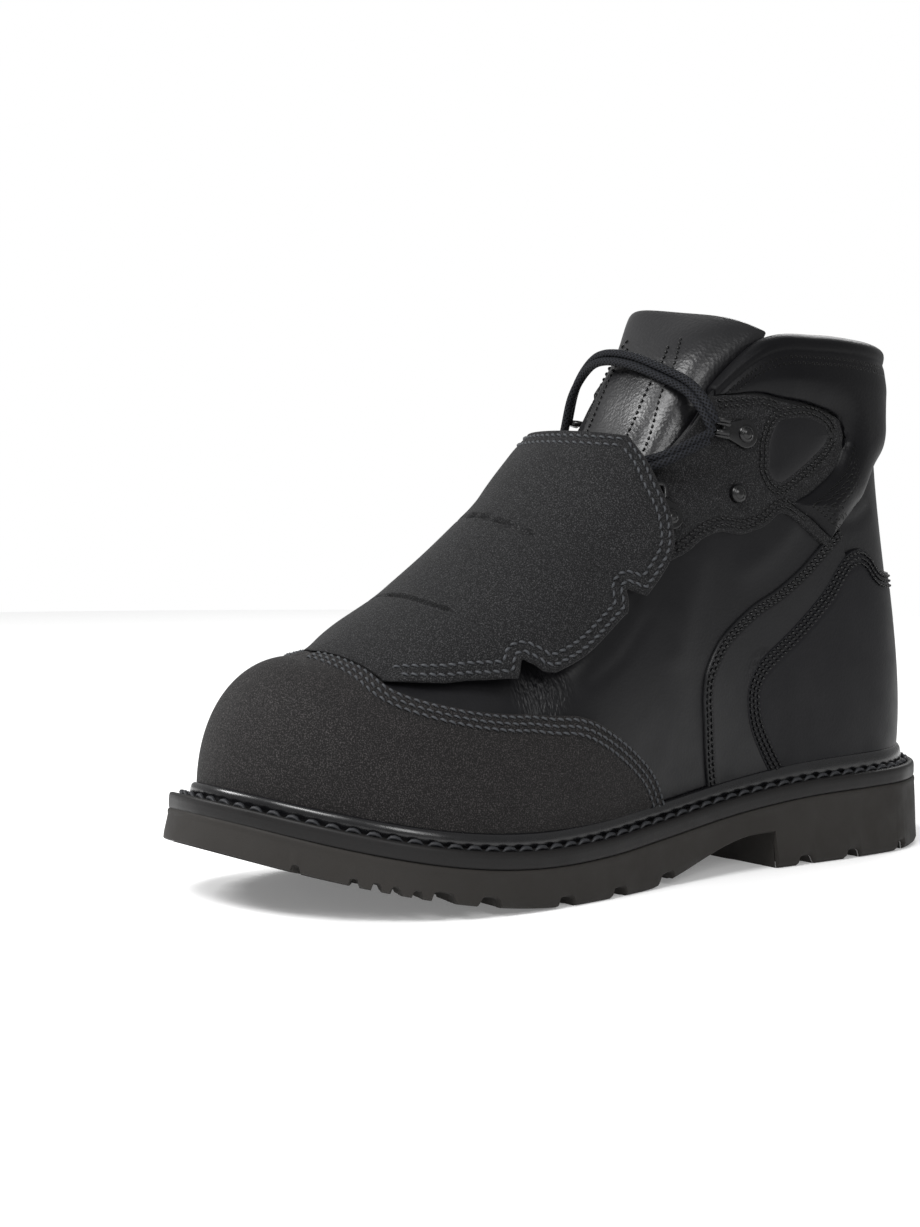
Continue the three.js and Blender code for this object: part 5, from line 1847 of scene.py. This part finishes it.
@dataclass
class Tongue(Assembly):
    """Padded tongue of grained leather."""

    thickness: float = 5.0

    def face(self, row: Array, across: Array, depth: float) -> Array:
        """Front face, or a face set back by depth: flat in the middle, sides turned back.

        Near the top the sides turn straight back and the whole is twisted to the outer side.

        Args:
            row: row numbers, 0 at the root and 9 at the top.
            across: from -1 to 1.
            depth: millimetres inwards.

        Returns:
            Points with a last axis of three.
        """
        row, across = paired(row, across)
        form = self.form

        def centre(at: Array) -> Array:
            """Middle line of the front face at the given rows."""
            back = TONGUE.at("back", at) * form.sole_length
            return np.stack([np.zeros_like(at), back, TONGUE.at("high", at) * form.collar_height], -1)

        step, last = 0.05, TONGUE.rows[-1][0]
        run = unit(centre(np.minimum(row + step, last)) - centre(np.maximum(row - step, 0)))
        inward = np.stack([np.zeros_like(row), run[..., 2], -run[..., 1]], -1)
        out = np.sin(across * 1.2) / math.sin(1.2)
        wrap = np.abs(across) ** 3
        top = smooth_step((row - 6) / 2.5)
        turned = inward + (np.array([0.0, 0.85, -0.55]) - inward) * top[..., None]
        point = centre(row) + turned * (TONGUE.at("wrap", row) * wrap)[..., None]
        point = point + inward * (depth * TONGUE.at("thick", row) * (1 - 0.45 * wrap))[..., None]
        wide = TONGUE.at("half", row) * form.collar_width + np.where(across < 0, 4.5, 0.3) * top
        point[..., 0] = out * wide
        point[..., 1] += 0.10 * top * point[..., 0]
        point[..., 2] -= top * (1.2 * (1 - out**2) + 0.11 * point[..., 0])
        return point

    def make(self) -> list[Piece]:
        """The tongue's body with rounded edges, and the stitched lines down its front."""
        row = spaced(130, 6, 0.01) * 9
        across = spaced(80, 6, 0.01) * 2 - 1
        front = self.face(row[:, None], across[None], 0.0)
        back = self.face(row[:, None], across[None], self.thickness)
        side = arc_lengths(front, 1)
        up = arc_lengths(front, 0)
        gap = np.minimum(np.minimum(side, side[:, -1:] - side), up[-1:] - up)
        share = (0.5 * (1 - rounded(gap, 2.4)))[..., None]
        body = shell(
            "tongue_leather", front * (1 - share) + back * share,
            (back * (1 - share) + front * share)[:, ::3], self.wardrobe.glossy,
        )
        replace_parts(body, "tongue")
        return [body, self.make_stitches()]

    def make_stitches(self) -> Piece:
        """A double line of black stitches down each half, joined at its lower end."""
        outer = ((3.75, 19.6), (4.5, 18.3), (5.1, 17.4), (5.9, 17.2), (6.5, 14.6), (6.85, 12.4))
        inner = ((3.85, 11.0), (4.5, 10.9), (5.2, 11.1), (6.0, 11.5), (6.5, 9.9))
        turn = ((3.62, 18.4), (3.55, 16.0), (3.6, 12.6))
        rows = []
        for sign in (1, -1):
            corners = np.array([*outer[::-1], *turn, *inner])
            key, side = resample(np.column_stack([corners, np.zeros(len(corners))]), 0.08)[:, :2].T
            half = TONGUE.at("half", key) * self.form.collar_width
            wide = side * (1.0 if sign > 0 else 1.22)
            across = sign * np.arcsin(np.minimum(wide * math.sin(1.2) / half, 0.97)) / 1.2
            line = self.face(key, across, -0.05)
            ahead = self.face(key + 0.05, across, 0.0) - line
            beside = self.face(key, across + 0.02, 0.0) - line
            out = unit(np.cross(ahead, beside))
            out = out * np.where(out[:, 1:2] > 0, -1, 1)
            rows.append(Stitching(2.3, 1.8, 0.9, 0.8, 0.0).parts(line, out, 0.1))
        piece = stitch_piece("tongue_stitches", rows, self.wardrobe.dark_thread)
        return piece


# Seams


@dataclass
class Seams(Assembly):
    """All rows of stitches on the upper."""

    def row(
        self, corners: Line, inset: float, lift: float,
        stitch: Stitching, sign: int = 1, toward: int = 1,
    ) -> Parts:
        """One row beside a seam.

        Args:
            corners: (station, rise) along the seam, on the lateral side.
            inset: distance from the seam in millimetres.
            lift: height of the leather under the thread.
            stitch: the kind of stitch.
            sign: 1 lateral, -1 medial.
            toward: which side of the seam, 1 to the left when going along it.

        Returns:
            The row's mesh parts.
        """
        track = self.form.line(on_side(corners, sign), 0.7)
        line = self.form.bare(track[:, 0], track[:, 1])
        normal = self.form.normal(track[:, 0], track[:, 1])
        ahead = unit(np.gradient(line, axis=0))
        across = unit(np.cross(normal, ahead)) * sign
        return stitch.parts(line + across * inset * toward + normal * lift, normal, 0.12)

    def make(self) -> list[Piece]:
        """Every seam, one piece of thread for each kind."""
        light: list[Parts] = []
        dark: list[Parts] = []
        small = Stitching(3.0, 2.5, 1.0, 0.8)
        black = Stitching(2.3, 1.8, 0.85, 0.85, 0.15)
        cap = [*CAP_SEAM.rows[:-1], (38.9, 0.96)]
        front = [(s, r) for s, r in COLLAR_FRONT.rows if s > 14]
        plan = (
            (cap, CAP_ROWS, 1.6, small, 1, light),
            (EYESTAY_FOOT[2:], EYESTAY_ROWS, 1.25, black, -1, dark),
            (COUNTER_EDGE, COUNTER_ROWS, 1.35, black, 1, dark),
            (SADDLE_EDGE, SADDLE_ROWS, 1.05, black, 1, dark),
            (front, COLLAR_ROWS, 1.45, black, 1, dark),
            (WINDOW, WINDOW_ROWS, 1.7, black, -1, dark),
        )
        for sign in (1, -1):
            for corners, insets, lift, stitch, toward, rows in plan:
                rows.extend(self.row(corners, inset, lift, stitch, sign, toward) for inset in insets)
        pieces = [
            stitch_piece("cap_stitches", light, self.wardrobe.light_thread),
            stitch_piece("upper_stitches", dark, self.wardrobe.dark_thread),
        ]
        return pieces


# Hardware and lace


@dataclass
class Hardware(Assembly):
    """Speed hooks, rings and rivets of black metal."""

    plate: float = 10.5
    wire: float = 2.4
    rivet: float = 6.6

    def seat(self, station: float, rise: float, grow: float, spin: float) -> Matrix:
        """Place on the upper: Z outwards, Y up the side, turned about Z.

        Args:
            station: station of the fitting's middle.
            rise: its rise.
            grow: millimetres off the bare upper.
            spin: turn in radians.

        Returns:
            The matrix from the fitting's own frame.
        """
        s, r = np.array([station]), np.array([rise])
        origin = self.form.side(s, r, grow)[0]
        normal = self.form.normal(s, r)[0]
        up = (self.form.side(s, r + 0.02, grow) - self.form.side(s, r - 0.02, grow))[0]
        up = unit(up - normal * (up @ normal))
        across = np.cross(up, normal)
        basis = Matrix(np.column_stack([across, up, normal]).tolist()).to_4x4()
        return Matrix.Translation(Vector(origin)) @ basis @ Matrix.Rotation(spin, 4, "Z")

    def lathe(self, profile: Line, sides: int = 40) -> Parts:
        """Closed turned body from (radius, height) pairs that start and end on the axis."""
        turn = np.linspace(0, 2 * np.pi, sides, endpoint=False)
        radius, high = np.asarray(profile, float).T
        points = np.stack(
            [
                radius[:, None] * np.cos(turn)[None],
                radius[:, None] * np.sin(turn)[None],
                np.broadcast_to(high[:, None], (len(radius), sides)),
            ],
            -1,
        )
        return ring_parts(points)

    def dome(self, diameter: float, height: float) -> Parts:
        """Rivet head: a low dome with a sunk ring round its crown."""
        r = diameter / 2
        return self.lathe(
            [(0, -0.3), (r, -0.3), (r, height * 0.3), (r * 0.96, height * 0.5), (r * 0.84, height * 0.72),
             (r * 0.66, height * 0.82), (r * 0.60, height * 0.74), (r * 0.52, height * 0.78),
             (r * 0.36, height * 0.95), (r * 0.18, height), (0, height)]
        )

    def base(self, size: float, reach: float, thickness: float) -> Parts:
        """Teardrop plate: its outline is the hull of a disc and a narrow neck, with soft edges.

        Args:
            size: width of the disc.
            reach: how far the neck's end is from the disc's middle.
            thickness: height of the plate.

        Returns:
            The plate's mesh parts.
        """
        radius = size / 2
        turn = np.linspace(np.pi / 3, 2 * np.pi - np.pi / 3, 30)
        disc = np.stack([np.cos(turn), np.sin(turn)], 1) * radius
        neck = np.array([[reach, -radius * 0.42], [reach, radius * 0.42]])
        outline = np.concatenate([disc, neck])
        outline = np.concatenate([outline, outline[:1]])
        run = arc_lengths(outline)
        at = np.linspace(0, run[-1], 72, endpoint=False)
        ring = sample(at, run, outline)
        centre = ring.mean(0)
        levels = [(0.0, -0.3), (1.0, -0.3), (1.0, thickness * 0.55), (0.96, thickness * 0.9),
                  (0.90, thickness), (0.0, thickness)]
        rings = [
            np.column_stack([centre + (ring - centre) * scale, np.full(len(ring), high)])
            for scale, high in levels
        ]
        return ring_parts(np.stack(rings))

    def place(self, name: str, parts: Sequence[Parts], seat: Matrix, node: str) -> Piece:
        """Joins parts made round the origin, turns them onto the upper and writes them.

        Args:
            name: the piece's name.
            parts: mesh parts.
            seat: their place on the upper.
            node: the CAD node that the piece stands for.

        Returns:
            The new object.
        """
        points, quads, caps, pairs = merge_parts(parts)
        turn = np.asarray(seat)
        points = points @ turn[:3, :3].T + turn[:3, 3]
        piece = write_mesh(name, points, quads, self.wardrobe.metal, caps, pairs)
        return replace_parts(piece, node)

    def make(self) -> list[Piece]:
        """Both hooks, rings and rivets."""
        pieces = []
        low = 1.7
        for side in Side:
            reach = self.plate * 0.95
            parts = [self.base(self.plate, reach, 1.1), self.dome(self.rivet, 2.6)]
            for across in (-2.2, 2.2):
                line = resample(
                    [(reach - 2.5, across, 0.9), (reach + 1.5, across, 1.2), (reach + 5.0, across, 2.2),
                     (reach + 6.2, across, 4.4), (reach + 4.6, across, 6.4), (reach + 1.6, across, 6.9)],
                    0.5,
                )
                parts.append(tube_parts(line, self.wire, self.wire, 14))
            spin = math.pi - 0.15 if side is Side.LATERAL else 0.15
            seat = self.seat(17.6 * side.value, 0.835, low, spin)
            pieces.append(self.place(f"speed_hook_{side.word}", parts, seat, f"hook_{side.word}"))
            reach = self.plate * 0.75
            half = 4.5
            ring = resample(
                [(reach - 1.6, -half * 0.5, 1.3), (reach + 1.4, -half, 1.6), (reach + 3.4, -half * 0.9, 1.7),
                 (reach + 5.0, 0, 1.8), (reach + 3.4, half * 0.9, 1.7), (reach + 1.4, half, 1.6),
                 (reach - 1.6, half * 0.5, 1.3)],
                0.5,
            )
            parts = [self.base(self.plate * 0.9, reach, 1.1), self.dome(self.rivet * 0.9, 2.2),
                     tube_parts(ring, 2.2, 2.2, 14)]
            spin = math.pi - 0.8 if side is Side.LATERAL else 0.8
            seat = self.seat(23.3 * side.value, 0.785, low, spin)
            pieces.append(self.place(f"lace_ring_{side.word}", parts, seat, f"ring_{side.word}"))
            seat = self.seat(18.2 * side.value, 0.707, low, 0.0)
            rivet = [self.dome(self.rivet, 2.4)]
            pieces.append(self.place(f"round_rivet_{side.word}", rivet, seat, f"rivet_{side.word}"))
        return pieces


@dataclass
class Lace(Assembly):
    """Braided lace: two strands over the tongue and two that go down under the guard."""

    diameter: float = 3.4

    def make(self) -> list[Piece]:
        """Both pairs of strands."""
        over = [
            (41, 25, 157), (40, 24, 160.5), (36, 23.5, 166), (28, 23.4, 171.8), (16, 21.4, 177),
            (0, 20.8, 181.8), (-16, 22, 183.2), (-28, 24.6, 180), (-36, 24.6, 171), (-41, 25, 158),
        ]
        under = [
            (41, 23, 154), (39, 14.5, 150), (35, 6.5, 146), (27, 0.5, 143.5), (14, -4, 142.7),
            (0, -5.6, 142.5),
        ]
        under = under + [(-x, y, z) for x, y, z in under[-2::-1]]
        pieces = []
        for name, node, line in (
            ("lace_across_tongue", "lace_over", over),
            ("lace_under_guard", "lace_under", under),
        ):
            parts = []
            middle = resample(line, 0.6)
            for offset in (0.5, -0.5):
                shift = np.array([0.0, 0.5, 0.87]) * offset * self.diameter
                parts.append(tube_parts(middle + shift, self.diameter, self.diameter * 0.9, 20))
            points, quads, caps, pairs = merge_parts(parts)
            piece = write_mesh(name, points, quads, self.wardrobe.lace, caps, pairs, merge=False)
            pieces.append(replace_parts(piece, node))
        return pieces


# Studio


@dataclass
class Studio:
    """Pale floor, soft lights and the camera at the photograph's angle."""

    focal: float = 2300.761
    image: tuple[int, int] = (920, 1227)
    azimuth: float = 53.742
    elevation: float = 3.394
    roll: float = 0.294
    distance: float = 820.202
    shift: tuple[float, float] = (-43.502, 1.158)
    target: tuple[float, float, float] = (0.0, 0.0, 90.0)

    def camera(self) -> Piece:
        """The camera, from the angles that put the model on the photograph."""
        a, e, r = (math.radians(v) for v in (self.azimuth, self.elevation, self.roll))
        back = np.array([math.sin(a) * math.cos(e), -math.cos(a) * math.cos(e), math.sin(e)])
        right = np.array([math.cos(a), math.sin(a), 0.0])
        up = np.cross(back, right)
        side = right * math.cos(r) + up * math.sin(r)
        top = up * math.cos(r) - right * math.sin(r)
        place = np.array(self.target) + back * self.distance + side * self.shift[0] + top * self.shift[1]
        data = bpy.data.cameras.new("photo_camera")
        data.sensor_fit = "AUTO"
        data.sensor_width = 36.0
        data.lens = self.focal / max(self.image) * 36.0
        data.clip_start, data.clip_end = 0.05, 50.0
        camera = bpy.data.objects.new("photo_camera", data)
        basis = Matrix(np.column_stack([side, top, back]).tolist()).to_4x4()
        camera.matrix_world = Matrix.Translation(Vector(place * METRES)) @ basis
        bpy.context.scene.collection.objects.link(camera)
        bpy.context.scene.camera = camera
        return camera

    @staticmethod
    def light(
        name: str, place: Sequence[float], aim: Sequence[float], size: Sequence[float], power: float
    ) -> Piece:
        """A soft rectangular light.

        Args:
            name: the light's name.
            place: its middle, in metres.
            aim: the point it faces.
            size: its width and height.
            power: watts.

        Returns:
            The new object.
        """
        data = bpy.data.lights.new(name, "AREA")
        data.shape = "RECTANGLE"
        data.size, data.size_y = size
        data.energy = power
        lamp = bpy.data.objects.new(name, data)
        lamp.location = place
        lamp.rotation_euler = (Vector(place) - Vector(aim)).to_track_quat("Z", "Y").to_euler()
        bpy.context.scene.collection.objects.link(lamp)
        return lamp

    def floor(self) -> Piece:
        """A round pale floor."""
        n = Nodes("studio_floor")
        n.link(n.mix(n.noise(3.0), (0.86, 0.86, 0.86), (0.9, 0.9, 0.9)), n.shader.inputs["Base Color"])
        n.fix(n.shader, {"Roughness": 0.7, "Specular IOR Level": 0.2})
        n.fix(n.shader, {"Emission Color": (1, 1, 1, 1), "Emission Strength": 0.18})
        mesh = bpy.data.meshes.new("floor")
        turn = np.linspace(0, 2 * np.pi, 96, endpoint=False)
        rim = np.stack([1.6 * np.cos(turn), 1.6 * np.sin(turn), 0 * turn], 1)
        mesh.from_pydata(rim.tolist(), [], [tuple(range(96))])
        mesh.materials.append(n.material)
        floor = bpy.data.objects.new("floor", mesh)
        bpy.context.scene.collection.objects.link(floor)
        return floor

    @staticmethod
    def world(strength: float) -> None:
        """Even white surroundings that light the boot less than they show behind it."""
        world = bpy.data.worlds.new("studio")
        world.use_nodes = True
        sky = world.node_tree.nodes["Background"]
        sky.inputs["Color"].default_value = (1, 1, 1, 1)
        seen = world.node_tree.nodes.new("ShaderNodeLightPath")
        level = world.node_tree.nodes.new("ShaderNodeMapRange")
        Nodes.fix(level, {"To Min": strength, "To Max": 1.0})
        world.node_tree.links.new(seen.outputs["Is Camera Ray"], level.inputs["Value"])
        world.node_tree.links.new(level.outputs["Result"], sky.inputs["Strength"])
        bpy.context.scene.world = world

    def make(self) -> None:
        """Sets the studio up."""
        bpy.context.scene.view_settings.view_transform = "Standard"
        self.camera()
        self.floor()
        self.world(0.42)
        self.light("front_softbox", (0.35, -1.0, 1.3), (0, -0.02, 0.1), (0.8, 0.5), 22)
        self.light("left_softbox", (-0.85, -0.95, 1.0), (0, -0.08, 0.06), (0.45, 0.45), 15)
        self.light("right_softbox", (1.25, -0.3, 0.8), (0, -0.04, 0.09), (0.35, 0.5), 6)
        self.light("rear_softbox", (-0.7, 1.3, 1.2), (0, 0.05, 0.1), (0.8, 0.6), 10)


def main() -> None:
    """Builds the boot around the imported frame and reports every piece."""
    logging.basicConfig(level=logging.INFO, format="%(name)s: %(message)s")
    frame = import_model()
    Studio().make()
    form = Form()
    wardrobe = Wardrobe()
    sole = Sole(form, wardrobe)
    upper = Upper(form, wardrobe)
    made: list[Piece] = [sole.make_outsole(), sole.make_midsole(), *sole.make_welt()]
    made += upper.make_skin()
    made += [upper.make_toe_cap(), upper.make_counter()]
    for side in Side:
        made += [upper.make_saddle(side), upper.make_eyestay(side), upper.make_window(side)]
    for assembly in (Collar, Guard, Tongue, Seams, Hardware, Lace):
        made += assembly(form, wardrobe).make()
    insole = frame["nodes"]["insole"]
    insole.data.materials.clear()
    insole.data.materials.append(wardrobe.lining)
    for piece in made:
        LOG.info("%s: %d faces", piece.name, len(piece.data.polygons))


if __name__ == "__main__":
    main()
